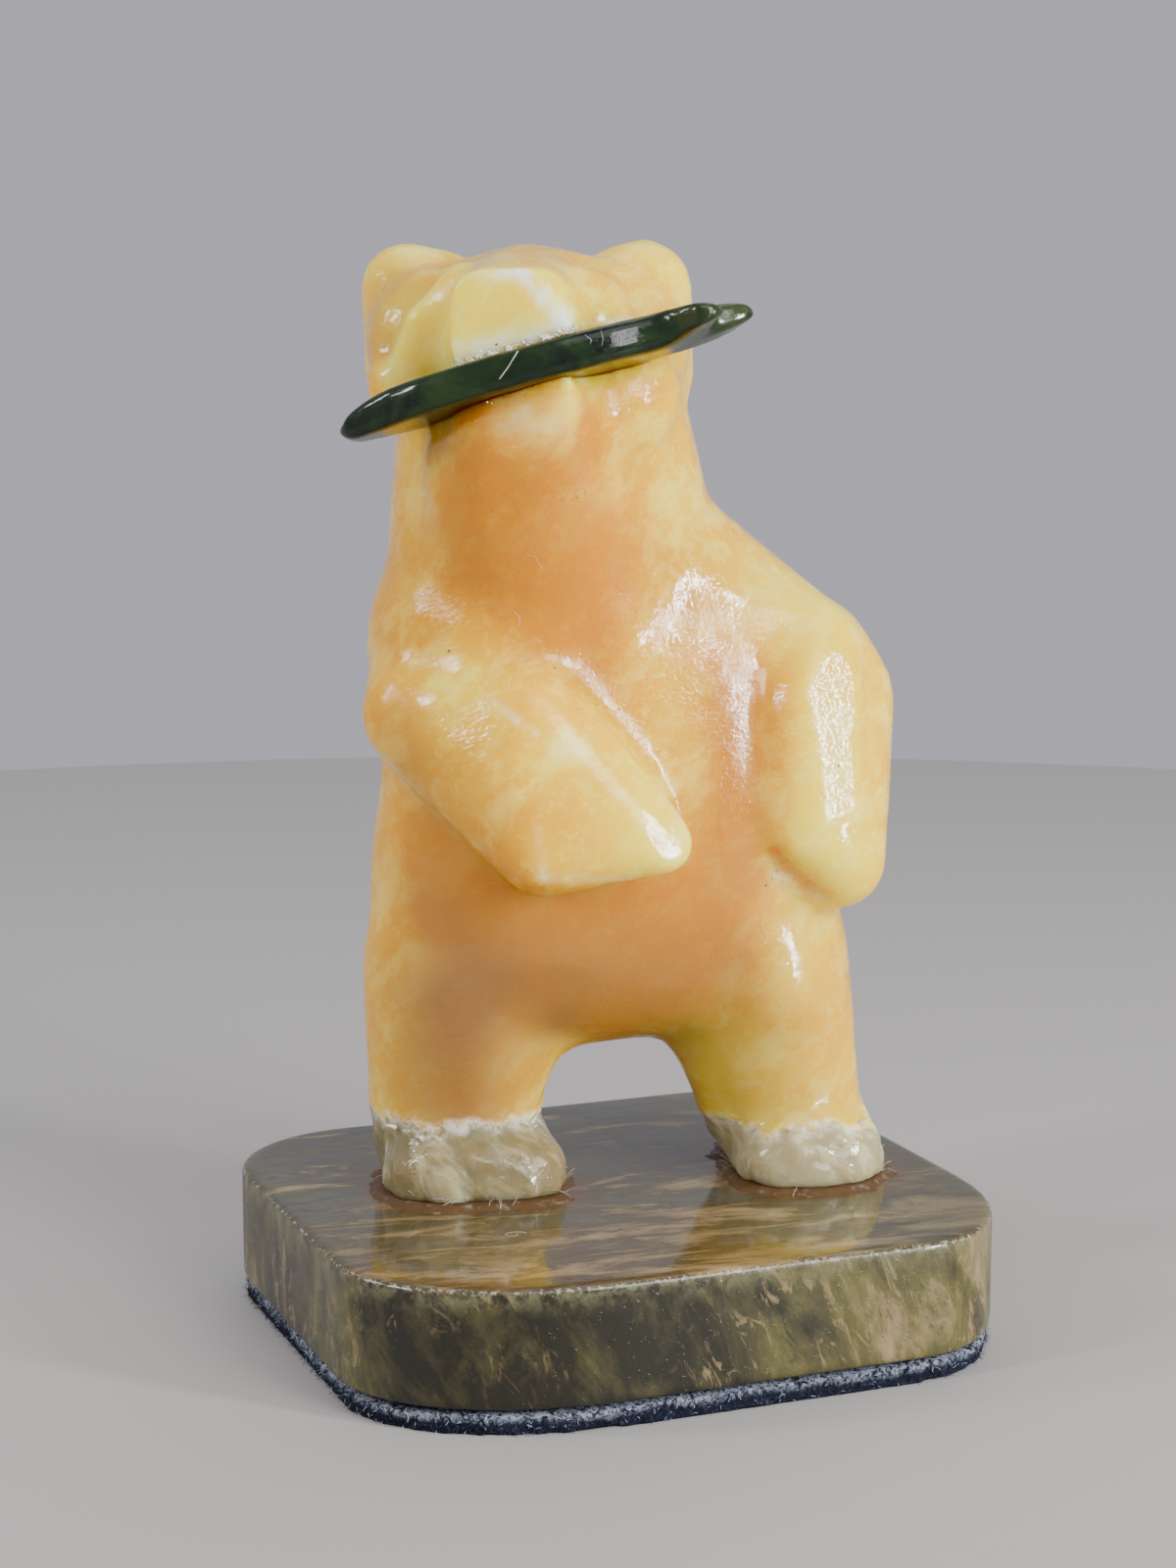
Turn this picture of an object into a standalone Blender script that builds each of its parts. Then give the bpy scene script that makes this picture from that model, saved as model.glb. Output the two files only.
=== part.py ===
"""A carved stone bear that holds a fish across its mouth and stands on a stone plinth with a felt pad.

Metres, +Z up. The origin is the middle of the felt's underside. The plinth's sides run along X and Y,
and its front is at -Y. The bear is placed on it a little turned, as it was glued down.
"""

import math

import bmesh
import bpy
from mathutils import Matrix, Vector

# Plinth and pad
PLINTH_WIDTH = 0.0482
PLINTH_DEPTH = 0.0430
PLINTH_THICKNESS = 0.0082
# How far each rounded corner reaches along X and along Y.
FRONT_RIGHT_CORNER = (0.0099, 0.0135)
BACK_RIGHT_CORNER = (0.0090, 0.0112)
BACK_LEFT_CORNER = (0.0101, 0.0101)
FRONT_LEFT_CORNER = (0.0161, 0.0109)
PLINTH_EDGE = 0.0003
FELT_THICKNESS = 0.0014
FELT_INSET = 0.0003
ARC_STEPS = 10

# Fits
REST_GAP = 0.0003
SLOT_CLEARANCE = 0.0003

# Bear, carved in sixtieths of its own height
BEAR_HEIGHT = 0.0663
CARVING_GRID = 60
BEAR_PLACE = (0.0022, 0.0018)
BEAR_TURN = math.radians(-12.5)
HEAD_TURN = math.radians(-13)
HEAD_PIVOT = Vector((-6.7, -0.5, 0))
BODY_VOXEL = 0.7
BODY_SOFTENING = 14
CARVING_VOXEL = 0.5
CARVING_SOFTENING = 7
SOFTENING_STRENGTH = 0.5
BEAR_TRIANGLES = 6200
BALL_DETAIL = 3
NOSE_CUT_SIZE = 20

# Curves and edges
MERGE = 1e-6
EDGE_STEPS = 1
FISH_CURVE_STEPS = 4

# Fish
FISH_LENGTH = 0.0278
FISH_WIDTH = 0.0094
FISH_THICKNESS = 0.0025
FISH_EDGE = 0.0006
FISH_NEAR_LOBE = 0.46
FISH_FAR_LOBE = 0.535
FISH_PLACE = Vector((1.2, -9.0, 52.3))
FISH_RISE = math.radians(-16)
FISH_LIFT = math.radians(-7)

UNIT = BEAR_HEIGHT / CARVING_GRID
PLINTH_BASE = FELT_THICKNESS + REST_GAP
PLINTH_TOP = PLINTH_BASE + PLINTH_THICKNESS
SOLE_HEIGHT = PLINTH_TOP + REST_GAP

# Each mass is the skin round a few balls: x to the viewer's right, y to the back,
# z up from the soles, and radius.
BODY_MASSES = {
    "belly": [(-7.3, 1.4, 22.5, 9.5), (3.6, 1.6, 24, 8.9), (-7.3, 2.3, 17.5, 9.7), (4.4, 2.4, 18, 9.4)],
    "chest": [(-7.6, 1, 35, 9.6), (2.6, 2, 32, 8.7), (-6.9, 1.4, 27.5, 9.3), (3.4, 1.6, 26, 8.8)],
    "neck": [(-5.8, 0.6, 49, 9.3), (-4.5, 1.2, 44.5, 9.3), (-5.5, 1.8, 38, 10.3)],
    "shoulder": [(-3, 1.6, 40, 8.3), (10.9, 1, 32.8, 5.2)],
    "hump": [(-3.8, 4.8, 39, 7.4), (4, 3.8, 35, 7)],
    "left_leg": [(-10.3, 0.9, 14.4, 7.3), (-11.8, 0.8, 8, 5.7), (-11.9, 0.9, 2.6, 5.1)],
    "right_leg": [(7.5, 0.9, 14.4, 7.2), (9.4, 0.9, 8, 5.4), (10.8, 0.9, 2.6, 5)],
    "crotch": [(-6.5, -0.9, 15, 5.7), (3.6, -0.9, 15, 5.7), (-6, 4.6, 14.3, 5), (3, 4.6, 14.3, 5)],
    "tail": [(-1.4, 11.2, 15.5, 1.7), (-1.4, 9, 18, 2.4)],
}
HEAD_BODY_MASSES = {
    "skull": [(-5.4, -1.6, 53.6, 4.9), (5.4, -1.6, 53.8, 4.9), (-5.2, 4, 52.8, 4.7),
              (5.2, 4, 52.8, 4.7), (0, 4.4, 54, 5.2), (0, -2.2, 55.5, 4.7)],
    "throat": [(-2.4, -9.3, 48.9, 2.4), (2.6, -9.3, 48.9, 2.4), (0.4, -1.9, 42.5, 7.4)],
}
CARVED_MASSES = {
    "left_arm": [(-12, 0, 34, 4.8), (-13.8, -3.2, 31, 4), (-7.6, -8.4, 31.5, 2.8),
                 (-8.2, -7.3, 27.4, 4.7), (-0.1, -10.4, 23.6, 2.2), (-7.6, -10.1, 22.6, 2.3)],
    "right_arm": [(10.9, 0.4, 32.8, 5.2), (9.9, -4.4, 30.5, 2.6), (9.9, -5.6, 23.2, 2.6),
                  (13.5, -0.6, 31.2, 3.6), (13.4, -1, 27, 3.6), (12.6, -4.4, 21, 3.2),
                  (12.4, 1.5, 24, 4)],
    "left_foot": [(-12.6, -2.4, 1, 4), (-8.5, -2.8, 0.6, 3.7), (-10.8, 3.4, 1.6, 5)],
    "right_foot": [(10.2, -3.1, 0.6, 3.8), (12.4, -2.6, 1, 4), (11.4, 3, 1.6, 4.7)],
}
HEAD_CARVED_MASSES = {
    "left_ear": [(-5.6, 1.4, 56.8, 2.9), (-7.7, 0.9, 56.9, 3.0), (-7.7, 1.8, 52.0, 3.0)],
    "right_ear": [(5.6, 1.4, 56.9, 2.9), (7.2, 0.9, 57.1, 3.0), (7.4, 1.8, 52.0, 3.0)],
    "left_brow": [(-3.0, -5.4, 57.0, 1.9), (-7.2, -3.8, 51.4, 2.7)],
    "right_brow": [(3.4, -6.0, 55.9, 2.8), (6.2, -4.6, 50.6, 3.6)],
    "snout": [(-2.3, -11.6, 56.9, 1.2), (1.6, -11.4, 56.2, 2.1), (-2.4, -11.6, 52.0, 1.1),
              (2.6, -11.4, 52.0, 1.6), (0, -3.0, 56.2, 3.8), (0, -3.0, 51.0, 5.0)],
    "jaw": [(-2.7, -10.5, 49.6, 1.8), (2.6, -10.5, 49.8, 1.9), (0, -2.0, 48.4, 5.6)],
}
# Plane of the flat nose end, in the head's own frame: a point on it and the direction it faces.
NOSE_POINT = Vector((0, -12.1, 55))
NOSE_FACING = Vector((-0.06, -1, 0.04))
# The chip broken from the lower corner of the hanging paw.
PAW_CHIP = [(7.4, -8.2, 20.2, 1.3), (9.3, -9, 18.5, 1.3), (11, -9.2, 17.2, 1.1), (8.8, -7.4, 18.3, 1)]

HONEY_STONE = ((0.86, 0.56, 0.20, 1), 0.22)
GREEN_JADE = ((0.02, 0.06, 0.025, 1), 0.15)
OLIVE_STONE = ((0.14, 0.14, 0.065, 1), 0.20)
NAVY_FELT = ((0.02, 0.024, 0.04, 1), 0.95)


def clear_scene():
    for obj in list(bpy.data.objects):
        bpy.data.objects.remove(obj)


def make_collection(name):
    collection = bpy.data.collections.new(name)
    bpy.context.scene.collection.children.link(collection)
    return collection


def make_material(name, finish):
    colour, roughness = finish
    material = bpy.data.materials.new(name)
    material.use_nodes = True
    shader = material.node_tree.nodes["Principled BSDF"]
    shader.inputs["Base Color"].default_value = colour
    shader.inputs["Roughness"].default_value = roughness
    shader.inputs["Metallic"].default_value = 0.0
    material.diffuse_color = colour
    return material


def add_object(name, data, collection, material=None):
    obj = bpy.data.objects.new(name, data)
    collection.objects.link(obj)
    if material:
        data.materials.append(material)
    return obj


def evaluated_mesh(obj):
    """The object's mesh with its modifiers applied."""
    bpy.context.view_layer.update()
    graph = bpy.context.evaluated_depsgraph_get()
    return bpy.data.meshes.new_from_object(obj.evaluated_get(graph))


def add_cutter(name, mesh, collection):
    cutter = add_object(name, mesh, collection)
    cutter.hide_render = True
    cutter.display_type = "WIRE"
    return cutter


def cut(obj, cutter):
    boolean = obj.modifiers.new(cutter.name, "BOOLEAN")
    boolean.operation = "DIFFERENCE"
    boolean.object = cutter


def bear_frame():
    """From the carving grid to the place where the bear stands."""
    place = Matrix.Translation((*BEAR_PLACE, SOLE_HEIGHT))
    return place @ Matrix.Rotation(BEAR_TURN, 4, "Z") @ Matrix.Scale(UNIT, 4)


def head_frame():
    """From the head's own grid, which looks straight ahead, to the carving grid."""
    return Matrix.Translation(HEAD_PIVOT) @ Matrix.Rotation(HEAD_TURN, 4, "Z")


def add_mass(bm, balls, frame):
    """Adds the convex skin round some balls."""
    points = bmesh.new()
    for x, y, z, radius in balls:
        bmesh.ops.create_icosphere(
            points, subdivisions=BALL_DETAIL, radius=radius, matrix=Matrix.Translation((x, y, z))
        )
    bmesh.ops.delete(points, geom=points.edges[:] + points.faces[:], context="EDGES_FACES")
    hull = bmesh.ops.convex_hull(points, input=points.verts)
    spare = set(hull["geom_interior"] + hull["geom_unused"])
    bmesh.ops.delete(points, geom=[vert for vert in points.verts if vert in spare], context="VERTS")
    points.transform(frame)
    mesh = bpy.data.meshes.new("mass")
    points.to_mesh(mesh)
    points.free()
    bm.from_mesh(mesh)
    bpy.data.meshes.remove(mesh)


def merged_mesh(bm, voxel, softening):
    """One closed skin round everything in bm, on a grid of voxels, with its creases softened."""
    mesh = bpy.data.meshes.new("carving")
    bm.to_mesh(mesh)
    bm.free()
    block = bpy.data.objects.new("carving", mesh)
    bpy.context.scene.collection.objects.link(block)
    remesh = block.modifiers.new("skin", "REMESH")
    remesh.mode = "VOXEL"
    remesh.voxel_size = voxel
    smooth = block.modifiers.new("soften", "SMOOTH")
    smooth.factor = SOFTENING_STRENGTH
    smooth.iterations = softening
    result = evaluated_mesh(block)
    bpy.data.objects.remove(block)
    bpy.data.meshes.remove(mesh)
    return result


def carve_bear():
    """The bear's mesh on the carving grid, before its flat cuts."""
    head = head_frame()
    body = bmesh.new()
    for balls in BODY_MASSES.values():
        add_mass(body, balls, Matrix())
    for balls in HEAD_BODY_MASSES.values():
        add_mass(body, balls, head)
    softened = merged_mesh(body, BODY_VOXEL, BODY_SOFTENING)

    whole = bmesh.new()
    whole.from_mesh(softened)
    bpy.data.meshes.remove(softened)
    for balls in CARVED_MASSES.values():
        add_mass(whole, balls, Matrix())
    for balls in HEAD_CARVED_MASSES.values():
        add_mass(whole, balls, head)
    return merged_mesh(whole, CARVING_VOXEL, CARVING_SOFTENING)


def cutting_block(name, point, facing, size, frame, collection):
    """A block with one face on the plane through point, filling the side that facing points to."""
    bm = bmesh.new()
    turn = facing.to_track_quat("Z", "Y").to_matrix().to_4x4()
    bmesh.ops.create_cube(bm, size=size)
    bm.transform(frame @ Matrix.Translation(point) @ turn @ Matrix.Translation((0, 0, size / 2)))
    mesh = bpy.data.meshes.new(name)
    bm.to_mesh(mesh)
    bm.free()
    return add_cutter(name, mesh, collection)


def fish_side(lobe):
    """One side of the fish from its head to a tail lobe, as shares of its length and half width."""
    return [(-0.42, 0.50), (-0.15, 1.0), (0.16, 0.82), (0.33, 0.45), (lobe, 0.74)]


def fish_mesh(grow):
    """The fish's slab in the bear's mouth, grown on every side by the given amount."""
    near_side = [(x, -y) for x, y in fish_side(FISH_NEAR_LOBE)]
    far_side = fish_side(FISH_FAR_LOBE)
    outline = [(-0.5, 0.0), *near_side, (0.42, 0.0), *reversed(far_side)]
    curve = bpy.data.curves.new("fish", "CURVE")
    curve.dimensions = "2D"
    curve.fill_mode = "BOTH"
    curve.resolution_u = FISH_CURVE_STEPS
    spline = curve.splines.new("BEZIER")
    spline.bezier_points.add(len(outline) - 1)
    for point, (x, y) in zip(spline.bezier_points, outline):
        point.co = (x * (FISH_LENGTH - 2 * FISH_EDGE), y * (FISH_WIDTH / 2 - FISH_EDGE), 0)
        point.handle_left_type = "AUTO"
        point.handle_right_type = "AUTO"
    spline.use_cyclic_u = True
    curve.bevel_depth = FISH_EDGE + grow
    curve.bevel_resolution = EDGE_STEPS
    curve.extrude = FISH_THICKNESS / 2 - FISH_EDGE
    shape = bpy.data.objects.new("fish", curve)
    bpy.context.scene.collection.objects.link(shape)
    mesh = evaluated_mesh(shape)
    bpy.data.objects.remove(shape)
    bpy.data.curves.remove(curve)
    bm = bmesh.new()
    bm.from_mesh(mesh)
    bmesh.ops.remove_doubles(bm, verts=bm.verts, dist=MERGE)
    bmesh.ops.recalc_face_normals(bm, faces=bm.faces)
    bm.transform(fish_frame())
    bm.to_mesh(mesh)
    bm.free()
    return mesh


def fish_frame():
    """From the flat fish to its place in the bear's mouth."""
    place = bear_frame() @ head_frame() @ Matrix.Translation(FISH_PLACE) @ Matrix.Scale(1 / UNIT, 4)
    turn = Matrix.Rotation(FISH_RISE, 4, "Y") @ Matrix.Rotation(FISH_LIFT, 4, "X")
    return place @ turn


def make_bear(parts, cutters):
    mesh = carve_bear()
    mesh.transform(bear_frame())
    mesh.name = "bear"
    bear = add_object("bear", mesh, parts, make_material("honey_stone", HONEY_STONE))
    decimate = bear.modifiers.new("facets", "DECIMATE")
    mesh.calc_loop_triangles()
    decimate.ratio = BEAR_TRIANGLES / len(mesh.loop_triangles)
    decimate.use_collapse_triangulate = True

    frame = bear_frame()
    down = Vector((0, 0, -1))
    cut(bear, cutting_block("sole_cut", Vector((0, 0, 0)), down, CARVING_GRID, frame, cutters))
    nose_frame = frame @ head_frame()
    cut(bear, cutting_block("nose_cut", NOSE_POINT, NOSE_FACING, NOSE_CUT_SIZE, nose_frame, cutters))
    chip = bmesh.new()
    add_mass(chip, PAW_CHIP, frame)
    chip_mesh = bpy.data.meshes.new("paw_chip")
    chip.to_mesh(chip_mesh)
    chip.free()
    cut(bear, add_cutter("paw_chip", chip_mesh, cutters))
    cut(bear, add_cutter("mouth_slot", fish_mesh(SLOT_CLEARANCE), cutters))
    return bear


def make_fish(parts):
    return add_object("fish", fish_mesh(0.0), parts, make_material("green_jade", GREEN_JADE))


def rounded_outline(inset):
    """The plinth's outline moved inwards by inset, counter-clockwise, with elliptical corners."""
    half_width = PLINTH_WIDTH / 2 - inset
    half_depth = PLINTH_DEPTH / 2 - inset
    corners = [
        (1, -1, FRONT_RIGHT_CORNER, -90),
        (1, 1, BACK_RIGHT_CORNER, 0),
        (-1, 1, BACK_LEFT_CORNER, 90),
        (-1, -1, FRONT_LEFT_CORNER, 180),
    ]
    points = []
    for side_x, side_y, reach, start in corners:
        reach_x = reach[0] - inset
        reach_y = reach[1] - inset
        centre = Vector((side_x * (half_width - reach_x), side_y * (half_depth - reach_y), 0))
        for step in range(ARC_STEPS + 1):
            angle = math.radians(start + 90 * step / ARC_STEPS)
            points.append(centre + Vector((reach_x * math.cos(angle), reach_y * math.sin(angle), 0)))
    return points


def slab(name, inset, base, thickness, edge, parts, material):
    """A flat slab with the plinth's outline, its top and bottom edges rounded by edge."""
    curve = bpy.data.curves.new(name, "CURVE")
    curve.dimensions = "2D"
    curve.fill_mode = "BOTH"
    spline = curve.splines.new("POLY")
    outline = rounded_outline(inset)
    spline.points.add(len(outline) - 1)
    for point, place in zip(spline.points, outline):
        point.co = (*place, 1)
    spline.use_cyclic_u = True
    curve.bevel_depth = edge
    curve.bevel_resolution = EDGE_STEPS
    curve.offset = -edge
    curve.extrude = thickness / 2 - edge
    obj = add_object(name, curve, parts, material)
    obj.location.z = base + thickness / 2
    return obj


def make_plinth(parts):
    material = make_material("olive_stone", OLIVE_STONE)
    return slab("plinth", 0.0, PLINTH_BASE, PLINTH_THICKNESS, PLINTH_EDGE, parts, material)


def make_felt(parts):
    material = make_material("navy_felt", NAVY_FELT)
    return slab("felt_pad", FELT_INSET, 0.0, FELT_THICKNESS, 0.0, parts, material)


def main():
    clear_scene()
    parts = make_collection("bear_figurine")
    cutters = make_collection("cutters")
    make_felt(parts)
    make_plinth(parts)
    make_bear(parts, cutters)
    make_fish(parts)


main()
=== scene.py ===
"""Looks of a small carved stone bear that holds a jade fish, on a polished stone plinth with a felt pad."""

import logging
import math
import random
from dataclasses import dataclass
from enum import Enum
from typing import Callable, Sequence, Union

import bmesh
import bpy
import numpy as np
from mathutils import Euler, Matrix, Vector, noise
from mathutils.bvhtree import BVHTree


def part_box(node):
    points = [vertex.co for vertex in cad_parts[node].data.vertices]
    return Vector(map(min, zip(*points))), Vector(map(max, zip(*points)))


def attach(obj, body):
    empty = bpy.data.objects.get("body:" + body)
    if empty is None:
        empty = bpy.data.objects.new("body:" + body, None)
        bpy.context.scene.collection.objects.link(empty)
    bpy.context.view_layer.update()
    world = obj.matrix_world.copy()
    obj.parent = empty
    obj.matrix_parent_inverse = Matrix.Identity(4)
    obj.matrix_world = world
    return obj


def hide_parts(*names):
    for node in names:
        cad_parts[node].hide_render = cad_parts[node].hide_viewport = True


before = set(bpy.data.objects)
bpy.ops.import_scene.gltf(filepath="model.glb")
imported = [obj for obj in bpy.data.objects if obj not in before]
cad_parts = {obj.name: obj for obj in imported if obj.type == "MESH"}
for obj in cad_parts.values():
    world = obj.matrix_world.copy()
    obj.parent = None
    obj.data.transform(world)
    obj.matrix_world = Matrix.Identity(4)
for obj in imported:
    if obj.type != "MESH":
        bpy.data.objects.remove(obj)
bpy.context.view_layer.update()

log = logging.getLogger("bear_figurine")

MM = 0.001
MERGE = 1e-6
SEED = 7

Array = np.ndarray
Colour = tuple[float, float, float]
Place = tuple[float, float, float]
Span = tuple[float, float]
Socket = bpy.types.NodeSocket


class Side(Enum):
    """A side of the bear as the viewer sees it, with the sign of its X."""

    LEFT = -1
    RIGHT = 1


class Mask(Enum):
    """Point attributes that the carving leaves for the stone's finish."""

    DEPTH = "depth"
    # Paler or deeper stone: partly its own milky and amber tone, partly painted light and painted shade
    MILK = "milk"
    LAYER = "layer"
    MOUTH = "mouth"
    FROST = "frost"
    # Dirt, and painted shadow in the paw's notch and at the mouth's left end
    DIRT = "dirt"
    # Painted shade: where the stone is darkened for shade that falls on it
    SMOKE = "smoke"
    HAZE = "haze"
    RIM = "rim"
    STAIN = "stain"


# Shader tools


def operator(operation: str, swapped: bool = False) -> Callable[["Value", "Number"], "Value"]:
    """Makes an operator of Value that adds one Math node.

    Args:
        operation: the Math node's operation.
        swapped: whether the other number comes first.

    Returns:
        The operator.
    """

    def apply(value: "Value", other: "Number") -> "Value":
        """Feeds the two numbers to the node.

        Args:
            value: the number whose operator it is.
            other: the other number.

        Returns:
            The node's result.
        """
        numbers = (other, value) if swapped else (value, other)
        node = value.bench.node("ShaderNodeMath", {"operation": operation}, dict(enumerate(numbers)))
        return Value(value.bench, node.outputs[0])

    return apply


class Value:
    """A number on a socket, to which Python's operators add Math nodes."""

    def __init__(self, bench: "Bench", socket: Socket) -> None:
        """Keeps the socket and the bench that it belongs to."""
        self.bench = bench
        self.socket = socket

    __add__, __radd__ = operator("ADD"), operator("ADD", swapped=True)
    __sub__, __rsub__ = operator("SUBTRACT"), operator("SUBTRACT", swapped=True)
    __mul__, __rmul__ = operator("MULTIPLY"), operator("MULTIPLY", swapped=True)
    least, most = operator("MINIMUM"), operator("MAXIMUM")


Number = Union[Value, float]
Paint = Union[Socket, Colour]


@dataclass(frozen=True)
class Cloud:
    """Soft noise: size of its largest blotches, how many finer ones it has, how strong, and its twist."""

    size: float
    detail: float = 3.0
    roughness: float = 0.5
    warp: float = 0.0


@dataclass(frozen=True)
class Patches:
    """Patches that fade in where a cloud rises from low to high, up to a share."""

    cloud: Cloud
    low: float
    high: float
    share: float = 1.0


class Bench:
    """One material and the nodes that are laid out for it."""

    def __init__(self, name: str) -> None:
        """Makes a material with a Principled shader.

        Args:
            name: the material's name.
        """
        self.material = bpy.data.materials.new(name)
        self.material.use_nodes = True
        self.tree = self.material.node_tree
        self.shader = self.tree.nodes["Principled BSDF"]
        self.place = self.node("ShaderNodeTexCoord").outputs["Object"]

    def node(self, kind: str, settings: dict | None = None, sockets: dict | None = None) -> bpy.types.Node:
        """Adds a node.

        Args:
            kind: the node's type.
            settings: its properties; stops is a ramp's list of (position, colour).
            sockets: what each of its sockets holds or takes.

        Returns:
            The node.
        """
        made = self.tree.nodes.new(kind)
        for name, setting in (settings or {}).items():
            if name == "stops":
                self._set_stops(made.color_ramp, setting)
            else:
                setattr(made, name, setting)
        for name, value in (sockets or {}).items():
            self.feed(made.inputs[name], value)
        return made

    @staticmethod
    def _set_stops(ramp: bpy.types.ColorRamp, stops: Sequence[tuple[float, Colour]]) -> None:
        """Gives a ramp its stops.

        Args:
            ramp: the ramp.
            stops: position and colour of each stop, in order.
        """
        while len(ramp.elements) < len(stops):
            ramp.elements.new(1.0)
        for element, (position, colour) in zip(ramp.elements, stops):
            element.position = position
            element.color = (*colour, 1.0)

    def feed(self, socket: Socket, value: Union[Number, Paint]) -> None:
        """Links a result to a socket, or sets the socket.

        Args:
            socket: the socket that takes the value.
            value: a result, a socket, a number or a colour.
        """
        if isinstance(value, Value):
            self.tree.links.new(value.socket, socket)
        elif isinstance(value, bpy.types.NodeSocket):
            self.tree.links.new(value, socket)
        elif socket.type == "RGBA":
            socket.default_value = (*value, 1.0)
        else:
            socket.default_value = value

    def set(self, **sockets: Union[Number, Paint]) -> None:
        """Sets the shader's sockets, each named with underscores for spaces."""
        for name, value in sockets.items():
            self.feed(self.shader.inputs[name.replace("_", " ")], value)

    def mask(self, mask: Mask) -> Value:
        """Reads one of the piece's point attributes."""
        node = self.node("ShaderNodeAttribute", {"attribute_name": mask.value})
        return Value(self, node.outputs["Fac"])

    def axis(self, name: str) -> Value:
        """One coordinate of the place on the object, in metres, by its letter."""
        return Value(self, self.node("ShaderNodeSeparateXYZ", {}, {0: self.place}).outputs[name])

    def turned(self, turn: Sequence[float], stretch: Sequence[float]) -> Socket:
        """The place on the object, turned and stretched for a pattern that runs one way.

        Args:
            turn: turns about X, Y and Z in degrees.
            stretch: what each axis is multiplied by.

        Returns:
            The vector.
        """
        angles = [math.radians(angle) for angle in turn]
        first = self.node("ShaderNodeMapping", {}, {"Vector": self.place, "Rotation": angles})
        second = self.node("ShaderNodeMapping", {}, {"Vector": first.outputs[0], "Scale": stretch})
        return second.outputs[0]

    def cloud(self, cloud: Cloud, place: Socket | None = None) -> Value:
        """Soft noise.

        Args:
            cloud: the noise.
            place: the vector that it reads, or None for the place on the object.

        Returns:
            The noise, about 0.5 on average.
        """
        sockets = {
            "Vector": place or self.place,
            "Scale": 1 / cloud.size,
            "Detail": cloud.detail,
            "Roughness": cloud.roughness,
            "Distortion": cloud.warp,
        }
        return Value(self, self.node("ShaderNodeTexNoise", {}, sockets).outputs["Fac"])

    def patches(self, patches: Patches, place: Socket | None = None) -> Value:
        """Patches of a cloud, from 0 to their share, read at a vector or at the place on the object."""
        return self.fade(self.cloud(patches.cloud, place), patches.low, patches.high) * patches.share

    def cells(self, size: float) -> Value:
        """Distance to the middle of the nearest of many scattered cells, of about the given size."""
        node = self.node("ShaderNodeTexVoronoi", {}, {"Vector": self.place, "Scale": 1 / size})
        return Value(self, node.outputs["Distance"])

    def fade(self, value: Number, low: float, high: float) -> Value:
        """A smooth step.

        Args:
            value: the number that is read.
            low: where the step is 0.
            high: where it is 1.

        Returns:
            The step.
        """
        backwards = low > high
        node = self.node(
            "ShaderNodeMapRange",
            {"interpolation_type": "SMOOTHSTEP"},
            {
                "Value": value,
                "From Min": high if backwards else low,
                "From Max": low if backwards else high,
                "To Min": 1.0 if backwards else 0.0,
                "To Max": 0.0 if backwards else 1.0,
            },
        )
        return Value(self, node.outputs["Result"])

    def mix(self, share: Number, first: Paint, second: Paint) -> Socket:
        """Mixes two colours, with the given share of the second."""
        node = self.node("ShaderNodeMix", {"data_type": "RGBA"}, {0: share, 6: first, 7: second})
        return node.outputs[2]

    def shades(self, value: Number, stops: Sequence[tuple[float, Colour]]) -> Socket:
        """A colour that follows a number, through the given stops."""
        return self.node("ShaderNodeValToRGB", {"stops": stops}, {"Fac": value}).outputs["Color"]

    def relief(self, height: Number, depth: float, below: Socket | None = None) -> Socket:
        """Bumps the surface.

        Args:
            height: the relief, from 0 to 1.
            depth: how high 1 is, in metres.
            below: a relief that this one lies on.

        Returns:
            The bumped normal.
        """
        sockets: dict = {"Height": height, "Distance": depth, "Strength": 1.0}
        if below:
            sockets["Normal"] = below
        return self.node("ShaderNodeBump", {}, sockets).outputs[0]


# Finishes


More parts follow.
